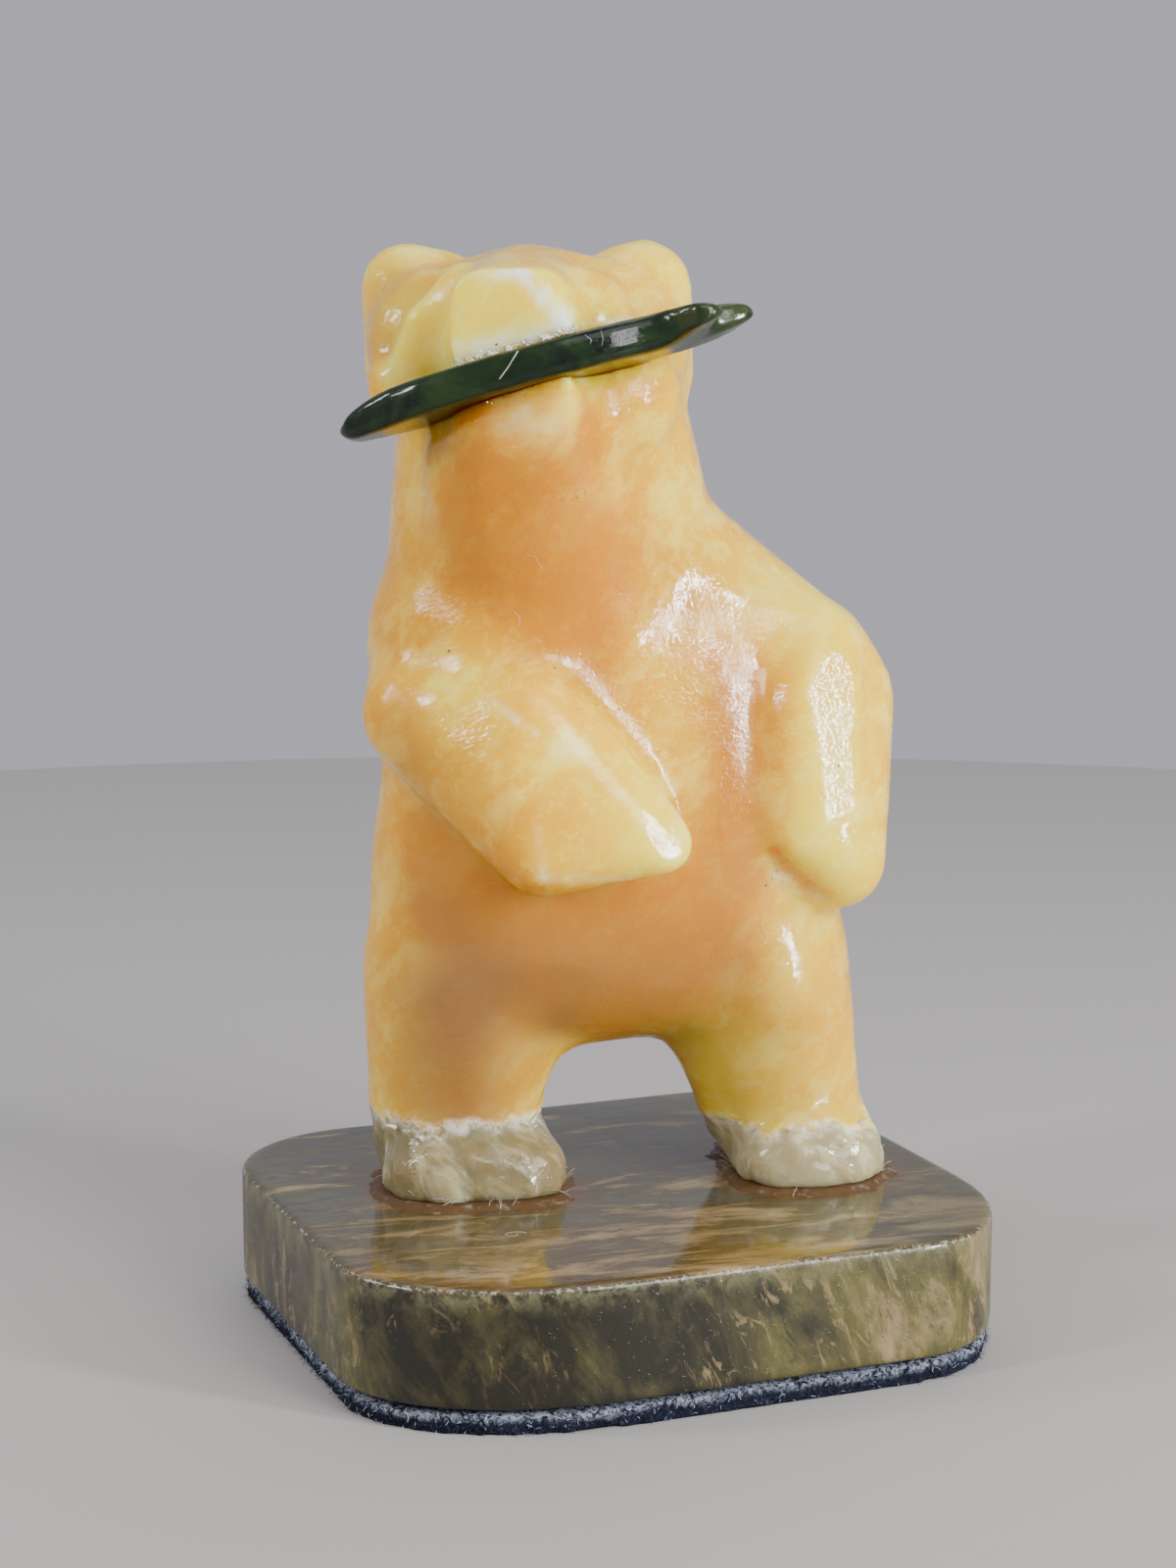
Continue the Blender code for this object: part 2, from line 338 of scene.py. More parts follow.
@dataclass(frozen=True)
class HoneyStone:
    """Translucent honey-coloured stone, polished by hand, with a pale layer at the feet."""

    amber: Colour = (0.63, 0.256, 0.0002)
    honey: Colour = (0.74, 0.362, 0.002)
    straw: Colour = (0.86, 0.525, 0.012)
    cream: Colour = (0.88, 0.68, 0.060)
    milk: Colour = (0.90, 0.79, 0.19)
    rose: Colour = (0.86, 0.52, 0.04)
    # The dim brown that painted shade darkens the stone towards
    smoke: Colour = (0.33, 0.165, 0.050)
    foot: Colour = (0.21, 0.175, 0.085)
    foot_vein: Colour = (0.52, 0.48, 0.30)
    frost: Colour = (0.90, 0.88, 0.72)
    # Dark brown for dirt, specks and painted shadow
    dirt: Colour = (0.085, 0.06, 0.022)

    # Depth of colour: thin stone is cream, thick stone amber.
    drift: Cloud = Cloud(8 * MM, 4.0, 0.55, 0.5)
    drift_share: float = 0.42
    mottle: Cloud = Cloud(2.2 * MM, 5.0, 0.65)
    mottle_share: float = 0.30
    tones: tuple[float, ...] = (0.0, 0.36, 0.70, 1.0)

    # Milky wisps, which show best where the stone is pale, and warmer and rosier clouds.
    vein_turn: Place = (20, 35, 0)
    vein_stretch: Place = (1, 1, 1.7)
    wisps: Patches = Patches(Cloud(5.0 * MM, 8.0, 0.66, 0.25), 0.47, 0.62, 0.66)
    flecks: Patches = Patches(Cloud(1.3 * MM, 5.0, 0.7, 0.5), 0.51, 0.63, 0.42)
    grains: Patches = Patches(Cloud(0.5 * MM, 4.0, 0.7, 0.4), 0.48, 0.72, 0.18)
    clear_tone: float = 1.2
    clear_least: float = 0.1
    warm: Patches = Patches(Cloud(1.9 * MM, 7.0, 0.72, 0.6), 0.53, 0.64)
    warm_share: float = 0.32
    warm_loss: float = 0.40
    blush: Patches = Patches(Cloud(6 * MM, 5.0, 0.6, 1.0), 0.56, 0.74, 0.15)

    # The pale layer at the feet and the crushed band where the honey-coloured stone begins.
    raggedness: Cloud = Cloud(1.7 * MM, 4.0, 0.60)
    ragged_height: float = 0.9 * MM
    feet_edge: Span = (0.10 * MM, -0.25 * MM)
    foot_turn: Place = (0, 38, 0)
    foot_stretch: Place = (1, 1, 0.35)
    foot_streaks: Patches = Patches(Cloud(2.2 * MM, 5.0, 0.6, 0.8), 0.46, 0.74, 0.7)
    foot_paler: Span = (-4 * MM, 6 * MM)
    foot_paler_share: float = 0.42
    band_above: Span = (0.65 * MM, 0.0)
    band_below: Span = (-1.0 * MM, -0.10 * MM)
    crust: Patches = Patches(Cloud(0.9 * MM, 5.0, 0.7), 0.34, 0.66)
    crust_share: float = 0.62

    # Frosted edges, smears of glue round the mouth, dirt and painted shadow, and dark specks.
    frost_least: float = 0.45
    frosting: Patches = Patches(Cloud(1.1 * MM, 5.0), 0.40, 0.62, 0.55)
    smear_edge: Span = (0.35, 0.85)
    smears: Patches = Patches(Cloud(1.3 * MM, 4.0), 0.42, 0.62)
    smear_share: float = 0.60
    dirt_edge: Span = (0.70, 0.98)
    mouth_dirt: float = 0.8
    grit: Patches = Patches(Cloud(0.32 * MM, 3.0, 0.7), 0.55, 0.68, 0.85)
    speck_spacing: float = 2.6 * MM
    speck_edge: Span = (0.050, 0.025)
    speck_places: Patches = Patches(Cloud(5 * MM, 1.0), 0.58, 0.62)

    # Roughness of the polish, and what each blemish adds to it.
    polish: float = 0.04
    hazy: Patches = Patches(Cloud(5 * MM, 3.0, 0.6), 0.42, 0.70, 0.06)
    rubbed: Patches = Patches(Cloud(1.6 * MM, 5.0, 0.6), 0.36, 0.60)
    crust_dullness: float = 0.12
    smear_dullness: float = 0.25
    frost_dullness: float = 0.15
    rubbed_dullness: float = 0.20

    # Relief of the polished face.
    waves: Cloud = Cloud(1.5 * MM, 3.0, 0.55)
    wave_height: float = 0.022 * MM
    scratches: Patches = Patches(Cloud(3.4 * MM, 2.0, 0.5, 0.2), 0.60, 0.67)
    scratch_turns: tuple[Place, ...] = ((10, 20, 35), (60, -15, 120), (-35, 70, 10))
    scratch_stretch: Place = (1, 14, 14)
    scratch_height: float = 0.006 * MM
    ridges: Cloud = Cloud(2.6 * MM, 2.0, 0.5, 0.35)
    ridge_turns: tuple[Place, ...] = ((5, 12, 20), (50, -30, 95))
    ridge_stretch: Place = (1, 8, 8)
    ridge_heights: tuple[float, ...] = (0.030 * MM, 0.018 * MM)
    facet_size: float = 1.5 * MM
    facet_height: float = 0.16 * MM
    crumbs: Cloud = Cloud(0.5 * MM, 4.0)
    crumb_height: float = 0.09 * MM
    rubbed_crumbs: float = 0.4

    # Light inside the stone and at its face.
    glow_depth: float = 4.5 * MM
    glow_colour: Colour = (1.0, 0.55, 0.22)
    forward: float = 0.3
    index: float = 1.52
    shine: float = 0.34

    def build(self) -> bpy.types.Material:
        """Lays out the stone.

        Returns:
            The material.
        """
        bench = Bench("honey_stone")
        # Painted shade darkens the stone where the carving marks it
        body = bench.mix(bench.mask(Mask.SMOKE), self._depths(bench), self.smoke)

        ragged = bench.mask(Mask.LAYER) + (bench.cloud(self.raggedness) - 0.5) * self.ragged_height
        feet = bench.fade(ragged, *self.feet_edge)
        body = bench.mix(feet, body, self._foot(bench))
        band = bench.fade(ragged, *self.band_above) * bench.fade(ragged, *self.band_below)
        rough = band * bench.patches(self.crust)
        body = bench.mix(rough * self.crust_share, body, self.frost)

        veil = bench.mask(Mask.FROST) * (bench.patches(self.frosting) + self.frost_least)
        body = bench.mix(veil.least(1.0), body, self.frost)
        mouth = bench.mask(Mask.MOUTH)
        smear = bench.fade(mouth, *self.smear_edge) * bench.patches(self.smears)
        body = bench.mix(smear * self.smear_share, body, self.frost)
        # Dirt round the mouth, and the carving's dark strokes, which are dirt in places and painted shadow in
        # others
        dirty = bench.fade(mouth, *self.dirt_edge) * self.mouth_dirt + bench.mask(Mask.DIRT)
        body = bench.mix(dirty.least(1.0) * bench.patches(self.grit), body, self.dirt)
        speck = bench.fade(bench.cells(self.speck_spacing), *self.speck_edge)
        body = bench.mix(speck * bench.patches(self.speck_places), body, self.dirt)

        dull = bench.mask(Mask.HAZE) * bench.patches(self.rubbed)
        gloss = bench.patches(self.hazy) + self.polish + rough * self.crust_dullness
        gloss = gloss + smear * self.smear_dullness + veil * self.frost_dullness + dull * self.rubbed_dullness

        bumps = self._polish_marks(bench)
        bumps = bench.relief(bench.cells(self.facet_size) * feet, self.facet_height, bumps)
        crumbs = bench.cloud(self.crumbs) * (rough + smear + dull * self.rubbed_crumbs)
        bumps = bench.relief(crumbs, self.crumb_height, bumps)

        bench.shader.subsurface_method = "RANDOM_WALK"
        bench.set(
            Base_Color=body,
            Roughness=gloss,
            Normal=bumps,
            IOR=self.index,
            Specular_IOR_Level=self.shine,
            Subsurface_Weight=1.0,
            Subsurface_Radius=self.glow_colour,
            Subsurface_Scale=self.glow_depth,
            Subsurface_Anisotropy=self.forward,
        )
        return bench.material

    def _depths(self, bench: Bench) -> Socket:
        """The clouded honey colours inside the stone.

        Args:
            bench: the stone's bench.

        Returns:
            Their colour.
        """
        # The carving's paler and deeper strokes, partly the stone's own tone and partly painted light and
        # shade
        milk = bench.mask(Mask.MILK)
        tone = bench.mask(Mask.DEPTH) + (bench.cloud(self.drift) - 0.5) * self.drift_share
        tone = tone + (bench.cloud(self.mottle) - 0.5) * self.mottle_share - milk
        colours = (self.cream, self.straw, self.honey, self.amber)
        body = bench.shades(tone, list(zip(self.tones, colours)))
        clear = (self.clear_tone - tone).least(1.0).most(self.clear_least)
        slanted = bench.turned(self.vein_turn, self.vein_stretch)
        for pale, place in ((self.wisps, slanted), (self.flecks, None), (self.grains, None)):
            body = bench.mix(bench.patches(pale, place) * clear, body, self.milk)
        warmth = (self.warm_share - milk * self.warm_loss).most(0.0)
        body = bench.mix(bench.patches(self.warm, slanted) * warmth, body, self.honey)
        return bench.mix(bench.patches(self.blush), body, self.rose)

    def _foot(self, bench: Bench) -> Socket:
        """The pale layer at the feet, streaked and paler to the right.

        Args:
            bench: the stone's bench.

        Returns:
            Its colour.
        """
        streaks = bench.patches(self.foot_streaks, bench.turned(self.foot_turn, self.foot_stretch))
        paler = bench.fade(bench.axis("X"), *self.foot_paler) * self.foot_paler_share
        return bench.mix(streaks + paler, self.foot, self.foot_vein)

    def _polish_marks(self, bench: Bench) -> Socket:
        """Slight waves, crossing scratches and ridges from polishing.

        Args:
            bench: the stone's bench.

        Returns:
            The bumped normal.
        """
        bumps = bench.relief(bench.cloud(self.waves), self.wave_height)
        marks: Number = 0.0
        for turn in self.scratch_turns:
            marks = bench.patches(self.scratches, bench.turned(turn, self.scratch_stretch)) + marks
        bumps = bench.relief(marks, self.scratch_height, bumps)
        for turn, height in zip(self.ridge_turns, self.ridge_heights):
            ridges = bench.cloud(self.ridges, bench.turned(turn, self.ridge_stretch))
            bumps = bench.relief(ridges, height, bumps)
        return bumps


@dataclass(frozen=True)
class GreenJade:
    """Dark green polished jade, a little translucent where it is thin."""

    dark: Colour = (0.003, 0.006, 0.004)
    green: Colour = (0.007, 0.018, 0.005)
    light: Colour = (0.018, 0.040, 0.009)
    olive: Colour = (0.060, 0.075, 0.018)
    dust: Colour = (0.42, 0.46, 0.38)

    clouds: Cloud = Cloud(5 * MM, 5.0, 0.6, 1.2)
    tones: tuple[float, ...] = (0.36, 0.50, 0.72)
    thin: Span = (0.42, 0.10)
    thin_share: float = 0.7
    scuffs: Patches = Patches(Cloud(1.2 * MM, 5.0, 0.75, 2.5), 0.64, 0.74)
    scuff_least: float = 0.15
    scuff_share: float = 0.4
    polish: float = 0.10
    hazy: Patches = Patches(Cloud(3 * MM, 4.0), 0.45, 0.75, 0.14)
    waves: Cloud = Cloud(1.8 * MM)
    wave_height: float = 0.03 * MM
    scratches: Patches = Patches(Cloud(0.9 * MM, 2.0), 0.58, 0.72)
    scratch_turn: Place = (0, 16, 12)
    scratch_stretch: Place = (1, 12, 12)
    scratch_height: float = 0.005 * MM
    shine: float = 0.32
    glow: float = 0.3
    glow_colour: Colour = (0.4, 1.0, 0.3)
    glow_depth: float = 0.8 * MM

    def build(self) -> bpy.types.Material:
        """Lays out the jade.

        Returns:
            The material.
        """
        bench = Bench("green_jade")
        colours = (self.dark, self.green, self.light)
        body = bench.shades(bench.cloud(self.clouds), list(zip(self.tones, colours)))
        body = bench.mix(bench.fade(bench.mask(Mask.DEPTH), *self.thin) * self.thin_share, body, self.olive)
        scuffs = (bench.patches(self.scuffs) + self.scuff_least) * bench.mask(Mask.RIM)
        body = bench.mix(scuffs * self.scuff_share, body, self.dust)
        bumps = bench.relief(bench.cloud(self.waves), self.wave_height)
        scratches = bench.patches(self.scratches, bench.turned(self.scratch_turn, self.scratch_stretch))
        bench.shader.subsurface_method = "RANDOM_WALK"
        bench.set(
            Base_Color=body,
            Roughness=bench.patches(self.hazy) + self.polish,
            Normal=bench.relief(scratches, self.scratch_height, bumps),
            Specular_IOR_Level=self.shine,
            Subsurface_Weight=self.glow,
            Subsurface_Radius=self.glow_colour,
            Subsurface_Scale=self.glow_depth,
        )
        return bench.material


@dataclass(frozen=True)
class Streaks:
    """Broad bands in a stone and the finer strokes in them, each turned and stretched its own way."""

    turn: Place
    stretch: Place
    bands: Cloud
    stops: tuple[float, ...]
    stroke_turn: Place
    stroke_stretch: Place
    strokes: Cloud
    stroke_levels: Span
    stroke_share: float
    patches: Cloud
    patch_levels: Span


@dataclass(frozen=True)
class OliveStone:
    """Olive-green stone with tan and dark streaks, mirror-polished on top."""

    top: float
    olive: Colour = (0.050, 0.043, 0.015)
    moss: Colour = (0.085, 0.076, 0.020)
    dark: Colour = (0.012, 0.011, 0.005)
    slate: Colour = (0.066, 0.063, 0.044)
    tan: Colour = (0.22, 0.160, 0.075)
    pale: Colour = (0.36, 0.29, 0.16)
    edge: Colour = (0.16, 0.155, 0.075)
    chip: Colour = (0.60, 0.60, 0.48)
    stain: Colour = (0.13, 0.055, 0.018)

    face: Streaks = Streaks(
        turn=(0, 0, 5),
        stretch=(0.30, 1, 1),
        bands=Cloud(2.9 * MM, 7.0, 0.64, 0.8),
        stops=(0.30, 0.44, 0.55, 0.66, 0.84),
        stroke_turn=(0, 0, 4),
        stroke_stretch=(0.22, 1, 1),
        strokes=Cloud(1.0 * MM, 5.0, 0.66, 1.0),
        stroke_levels=(0.54, 0.64),
        stroke_share=0.5,
        patches=Cloud(7 * MM),
        patch_levels=(0.46, 0.66),
    )
    front: Span = (2 * MM, -14 * MM)
    front_bands: float = 0.06
    front_patches: float = 0.15
    plain_right: Span = (6 * MM, 20 * MM)
    plain_share: float = 0.55
    film_across: Span = (12 * MM, 0.0)
    film_along: Span = (-1 * MM, -9 * MM)
    film_share: float = 0.18

    side: Streaks = Streaks(
        turn=(0, 30, 20),
        stretch=(1, 1, 0.42),
        bands=Cloud(5.0 * MM, 9.0, 0.70, 0.6),
        stops=(0.50, 0.63, 0.71, 0.82, 0.98),
        stroke_turn=(0, 24, 20),
        stroke_stretch=(1, 1, 0.34),
        strokes=Cloud(1.3 * MM, 8.0, 0.74, 0.9),
        stroke_levels=(0.54, 0.61),
        stroke_share=0.85,
        patches=Cloud(6 * MM),
        patch_levels=(0.50, 0.70),
    )
    paler_right: Span = (-14 * MM, 20 * MM)
    paler_right_share: float = 0.21
    paler_left: Span = (-21 * MM, -23 * MM)
    paler_left_share: float = 0.13
    edge_depths: Span = (2.2 * MM, 0.2 * MM)
    edge_glow: Patches = Patches(Cloud(1.4 * MM, 6.0, 0.7), 0.40, 0.62)
    edge_share: float = 0.65

    cracks: Span = (0.44, 0.32)
    crack_share: float = 0.6
    polished_depths: Span = (0.5 * MM, 0.1 * MM)
    specks: Patches = Patches(Cloud(0.45 * MM, 4.0, 0.7), 0.42, 0.30, 0.45)
    chips: Patches = Patches(Cloud(0.35 * MM, 4.0, 0.7), 0.50, 0.62)
    chip_edge: Span = (0.35, 0.9)
    chip_share: float = 0.45
    stains: Patches = Patches(Cloud(1.1 * MM, 5.0, 0.65), 0.32, 0.66)
    stain_edge: Span = (0.1, 0.9)
    stain_share: float = 0.85

    side_roughness: float = 0.28
    polish: float = 0.21
    chip_dullness: float = 0.25
    stain_dullness: float = 0.30
    waves: Cloud = Cloud(2.5 * MM, 3.0, 0.55)
    wave_height: float = 0.03 * MM
    pits: Patches = Patches(Cloud(0.4 * MM, 3.0, 0.6), 0.60, 0.75)
    pitting: float = 1.2
    pit_height: float = 0.02 * MM
    index: float = 1.56
    shine: float = 0.38

    def build(self) -> bpy.types.Material:
        """Lays out the stone.

        Returns:
            The material.
        """
        bench = Bench("olive_stone")
        upper = self._toward_top(bench, self.polished_depths)
        surface = bench.mix(upper, self._side(bench), self._face(bench))
        surface = bench.mix(bench.patches(self.specks), surface, self.dark)
        chips = bench.patches(self.chips) * bench.fade(bench.mask(Mask.RIM), *self.chip_edge)
        surface = bench.mix(chips * self.chip_share, surface, self.chip)
        stain = bench.mask(Mask.STAIN)
        patchy = bench.patches(self.stains)
        stained = bench.fade(stain, *self.stain_edge) * patchy * self.stain_share
        surface = bench.mix(stained, surface, self.stain)

        gloss = self.side_roughness - upper * self.polish + chips * self.chip_dullness
        gloss = gloss + stain * patchy * self.stain_dullness
        bumps = bench.relief(bench.cloud(self.waves), self.wave_height)
        bumps = bench.relief(bench.patches(self.pits) * (self.pitting - upper), self.pit_height, bumps)
        bench.set(
            Base_Color=surface, Roughness=gloss, Normal=bumps, IOR=self.index, Specular_IOR_Level=self.shine
        )
        return bench.material

    def _toward_top(self, bench: Bench, depths: Span) -> Value:
        """A step that rises between two depths below the plinth's top."""
        return bench.fade(bench.axis("Z"), self.top - depths[0], self.top - depths[1])

    def _streaked(
        self, bench: Bench, streaks: Streaks, colours: Sequence[Colour], lift: Value, patch_lift: Value
    ) -> tuple[Socket, Value, Value]:
        """Bands and strokes.

        Args:
            bench: the stone's bench.
            streaks: how they run.
            colours: the bands' colours from the darkest up.
            lift: what makes the bands paler in places.
            patch_lift: what makes strokes commoner in places.

        Returns:
            The colour, the strokes' cloud and the patches in which they show.
        """
        bands = bench.cloud(streaks.bands, bench.turned(streaks.turn, streaks.stretch)) + lift
        colour = bench.shades(bands, list(zip(streaks.stops, colours)))
        strokes = bench.cloud(streaks.strokes, bench.turned(streaks.stroke_turn, streaks.stroke_stretch))
        patches = bench.fade(bench.cloud(streaks.patches) + patch_lift, *streaks.patch_levels)
        shown = bench.fade(strokes, *streaks.stroke_levels) * patches * streaks.stroke_share
        return bench.mix(shown, colour, self.tan), strokes, patches

    def _cracked(self, bench: Bench, colour: Socket, strokes: Value) -> Socket:
        """The colour with dark cracks between the strokes."""
        return bench.mix(bench.fade(strokes, *self.cracks) * self.crack_share, colour, self.dark)

    def _face(self, bench: Bench) -> Socket:
        """The flat top, with wavy streaks along the plinth's width.

        Args:
            bench: the stone's bench.

        Returns:
            Its colour.
        """
        front = bench.fade(bench.axis("Y"), *self.front)
        colours = (self.dark, self.slate, self.olive, self.tan, self.pale)
        lift, patch_lift = front * self.front_bands, front * self.front_patches
        colour, strokes, patches = self._streaked(bench, self.face, colours, lift, patch_lift)
        plain = bench.fade(bench.axis("X"), *self.plain_right) * self.plain_share
        colour = bench.mix(plain, colour, self.olive)
        film = bench.fade(bench.axis("X"), *self.film_across) * bench.fade(bench.axis("Y"), *self.film_along)
        colour = bench.mix(film * patches * self.film_share, colour, self.stain)
        return self._cracked(bench, colour, strokes)

    def _side(self, bench: Bench) -> Socket:
        """The sides, with brushy slanted streaks.

        Args:
            bench: the stone's bench.

        Returns:
            Their colour.
        """
        paler = bench.fade(bench.axis("X"), *self.paler_right) * self.paler_right_share
        paler = paler + bench.fade(bench.axis("X"), *self.paler_left) * self.paler_left_share
        colours = (self.dark, self.olive, self.moss, self.tan, self.pale)
        colour, strokes, _ = self._streaked(bench, self.side, colours, paler, paler)
        glow = self._toward_top(bench, self.edge_depths) * bench.patches(self.edge_glow)
        return self._cracked(bench, bench.mix(glow * self.edge_share, colour, self.edge), strokes)


@dataclass(frozen=True)
class NavyFelt:
    """Dark navy felt with lint in it, most of all along its upper edge."""

    navy: Colour = (0.004, 0.005, 0.012)
    blue: Colour = (0.013, 0.016, 0.030)
    lint: Colour = (0.36, 0.40, 0.48)
    matting: Cloud = Cloud(0.5 * MM, 5.0, 0.7, 1.5)
    tones: tuple[float, ...] = (0.40, 0.62, 0.85)
    edge: Span = (0.65 * MM, 1.30 * MM)
    edge_drift: Cloud = Cloud(2.5 * MM)
    edge_raggedness: float = 1.0 * MM
    edge_lint: Span = (0.40, 0.62)
    edge_share: float = 0.72
    nap: Cloud = Cloud(0.25 * MM, 4.0, 0.7)
    nap_height: float = 0.12 * MM

    def build(self) -> bpy.types.Material:
        """Lays out the felt.

        Returns:
            The material.
        """
        bench = Bench("navy_felt")
        matted = bench.cloud(self.matting)
        stops = list(zip(self.tones, (self.navy, self.blue, self.lint)))
        height = bench.axis("Z") + (bench.cloud(self.edge_drift) - 0.5) * self.edge_raggedness
        linty = bench.fade(height, *self.edge) * bench.fade(matted, *self.edge_lint) * self.edge_share
        body = bench.mix(linty, bench.shades(matted, stops), self.lint)
        bumps = bench.relief(bench.cloud(self.nap), self.nap_height)
        bench.set(Base_Color=body, Roughness=0.95, Normal=bumps, Specular_IOR_Level=0.1)
        return bench.material


@dataclass(frozen=True)
class Fibre:
    """A thread-like finish of one colour with a little drift."""

    name: str
    colour: Colour
    other: Colour
    roughness: float = 0.7
    drift: Patches = Patches(Cloud(1.5 * MM, 2.0), 0.40, 0.60)

    def build(self) -> bpy.types.Material:
        """Lays out the fibre.

        Returns:
            The material.
        """
        bench = Bench(self.name)
        bench.set(
            Base_Color=bench.mix(bench.patches(self.drift), self.colour, self.other), Roughness=self.roughness
        )
        return bench.material


@dataclass(frozen=True)
class GlueCrust:
    """Dried white glue with brown and green grit in it."""

    white: Colour = (0.78, 0.78, 0.70)
    clear: Colour = (0.62, 0.58, 0.40)
    grit: Colour = (0.10, 0.085, 0.035)
    whiter: Patches = Patches(Cloud(1.0 * MM, 4.0), 0.42, 0.60)
    grains: Patches = Patches(Cloud(0.28 * MM, 3.0, 0.7), 0.58, 0.70, 0.9)
    crumbs: Cloud = Cloud(0.22 * MM)
    crumb_height: float = 0.08 * MM

    def build(self) -> bpy.types.Material:
        """Lays out the glue.

        Returns:
            The material.
        """
        bench = Bench("glue_crust")
        body = bench.mix(bench.patches(self.whiter), self.clear, self.white)
        body = bench.mix(bench.patches(self.grains), body, self.grit)
        bumps = bench.relief(bench.cloud(self.crumbs), self.crumb_height)
        bench.set(Base_Color=body, Roughness=0.45, Normal=bumps, IOR=1.48)
        return bench.material


@dataclass(frozen=True)
class GlueStain:
    """A thin brown film of old glue."""

    brown: Colour = (0.085, 0.045, 0.018)
    grey: Colour = (0.20, 0.17, 0.13)
    greyer: Patches = Patches(Cloud(0.8 * MM, 5.0), 0.54, 0.78)
    lumps: Cloud = Cloud(0.3 * MM)
    lump_height: float = 0.06 * MM

    def build(self) -> bpy.types.Material:
        """Lays out the film.

        Returns:
            The material.
        """
        bench = Bench("glue_stain")
        body = bench.mix(bench.patches(self.greyer), self.brown, self.grey)
        bumps = bench.relief(bench.cloud(self.lumps), self.lump_height)
        bench.set(Base_Color=body, Roughness=0.55, Normal=bumps, Specular_IOR_Level=0.25)
        return bench.material


# Mesh tools


def merged_copy(node: str) -> bmesh.types.BMesh:
    """Copies a CAD node's loose triangles and joins them.

    Args:
        node: the node's name.

    Returns:
        A closed mesh in the row's frame.
    """
    bm = bmesh.new()
    bm.from_mesh(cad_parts[node].data)
    bmesh.ops.remove_doubles(bm, verts=bm.verts, dist=MERGE)
    return bm


def baked(bm: bmesh.types.BMesh, name: str) -> bpy.types.Mesh:
    """Turns a bmesh into a mesh.

    Args:
        bm: the bmesh, which is freed.
        name: the mesh's name.

    Returns:
        The mesh.
    """
    mesh = bpy.data.meshes.new(name)
    bm.to_mesh(mesh)
    bm.free()
    return mesh


def evaluated(block: bpy.types.Object) -> bpy.types.Mesh:
    """Takes the mesh that an object's modifiers or bevel make.

    Args:
        block: the object, which is removed.

    Returns:
        The mesh.
    """
    bpy.context.scene.collection.objects.link(block)
    bpy.context.view_layer.update()
    graph = bpy.context.evaluated_depsgraph_get()
    result = bpy.data.meshes.new_from_object(block.evaluated_get(graph))
    bpy.data.objects.remove(block)
    return result


def skin(bm: bmesh.types.BMesh, voxel: float, softening: int) -> bpy.types.Mesh:
    """A fine even skin round a closed mesh, softened.

    Args:
        bm: the closed mesh, which is freed.
        voxel: size of the skin's faces.
        softening: how many times its points are eased towards their neighbours.

    Returns:
        The skin.
    """
    mesh = baked(bm, "skin")
    block = bpy.data.objects.new("skin", mesh)
    remesh = block.modifiers.new("skin", "REMESH")
    remesh.mode = "VOXEL"
    remesh.voxel_size = voxel
    smooth = block.modifiers.new("soften", "SMOOTH")
    smooth.factor = 0.5
    smooth.iterations = softening
    result = evaluated(block)
    bpy.data.meshes.remove(mesh)
    return result


def make_piece(
    name: str, mesh: bpy.types.Mesh, material: bpy.types.Material
) -> bpy.types.Object:
    """Puts a finished mesh in the scene, riding on the figurine.

    Args:
        name: the piece's name.
        mesh: its mesh, in place.
        material: its finish.

    Returns:
        The piece.
    """
    mesh.name = name
    mesh.materials.clear()
    mesh.materials.append(material)
    mesh.shade_smooth()
    piece = bpy.data.objects.new(name, mesh)
    bpy.context.scene.collection.objects.link(piece)
    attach(piece, "root")
    log.info("%s: %d faces", name, len(mesh.polygons))
    return piece


def fibre_mesh(
    paths: Sequence[Sequence[Vector]], radius: float, root: float = 0.6, tip: float = 0.4
) -> bpy.types.Mesh:
    """Thin threads along paths.

    Args:
        paths: the points that each thread follows.
        radius: half a thread's thickness in the middle.
        root: share of it at a thread's first point.
        tip: share of it at a thread's last point.

    Returns:
        One mesh of all the threads.
    """
    curve = bpy.data.curves.new("threads", "CURVE")
    curve.dimensions = "3D"
    curve.bevel_depth = radius
    curve.bevel_resolution = 0
    curve.use_fill_caps = True
    for path in paths:
        spline = curve.splines.new("POLY")
        spline.points.add(len(path) - 1)
        for point, place in zip(spline.points, path):
            point.co = (*place, 1.0)
        spline.points[0].radius = root
        spline.points[-1].radius = tip
    mesh = evaluated(bpy.data.objects.new("threads", curve))
    bpy.data.curves.remove(curve)
    bm = bmesh.new()
    bm.from_mesh(mesh)
    bpy.data.meshes.remove(mesh)
    bmesh.ops.remove_doubles(bm, verts=bm.verts, dist=MERGE)
    bmesh.ops.recalc_face_normals(bm, faces=bm.faces)
    return baked(bm, "threads")


@dataclass(frozen=True)
class Wave:
    """Solid noise to carve with: length of its largest waves, how many finer ones, which, and its height."""

    length: float
    octaves: int
    seed: int
    height: float = 1.0

    def on(self, points: Array) -> Array:
        """The noise at many points, about 0.

        Args:
            points: the places, one a row.

        Returns:
            A number for each point.
        """
        shift = Vector((3.1, 7.7, 5.3)) * (SEED + self.seed)
        places = (Vector(point) / self.length + shift for point in points)
        return np.array([noise.fractal(place, 1.0, 2.0, self.octaves) for place in places]) * self.height


def way_to(points: Array, start: Sequence[float], end: Sequence[float]) -> Array:
    """The way from each point to a straight line between two places.

    Args:
        points: the points, one a row.
        start: one end of the line.
        end: the other end, which may be the same.

    Returns:
        The distances.
    """
    first = np.array(start, float)
    line = np.array(end, float) - first
    share = np.clip((points - first) @ line / max(line @ line, MERGE), 0.0, 1.0)
    return np.linalg.norm(points - first - share[:, None] * line, axis=1)


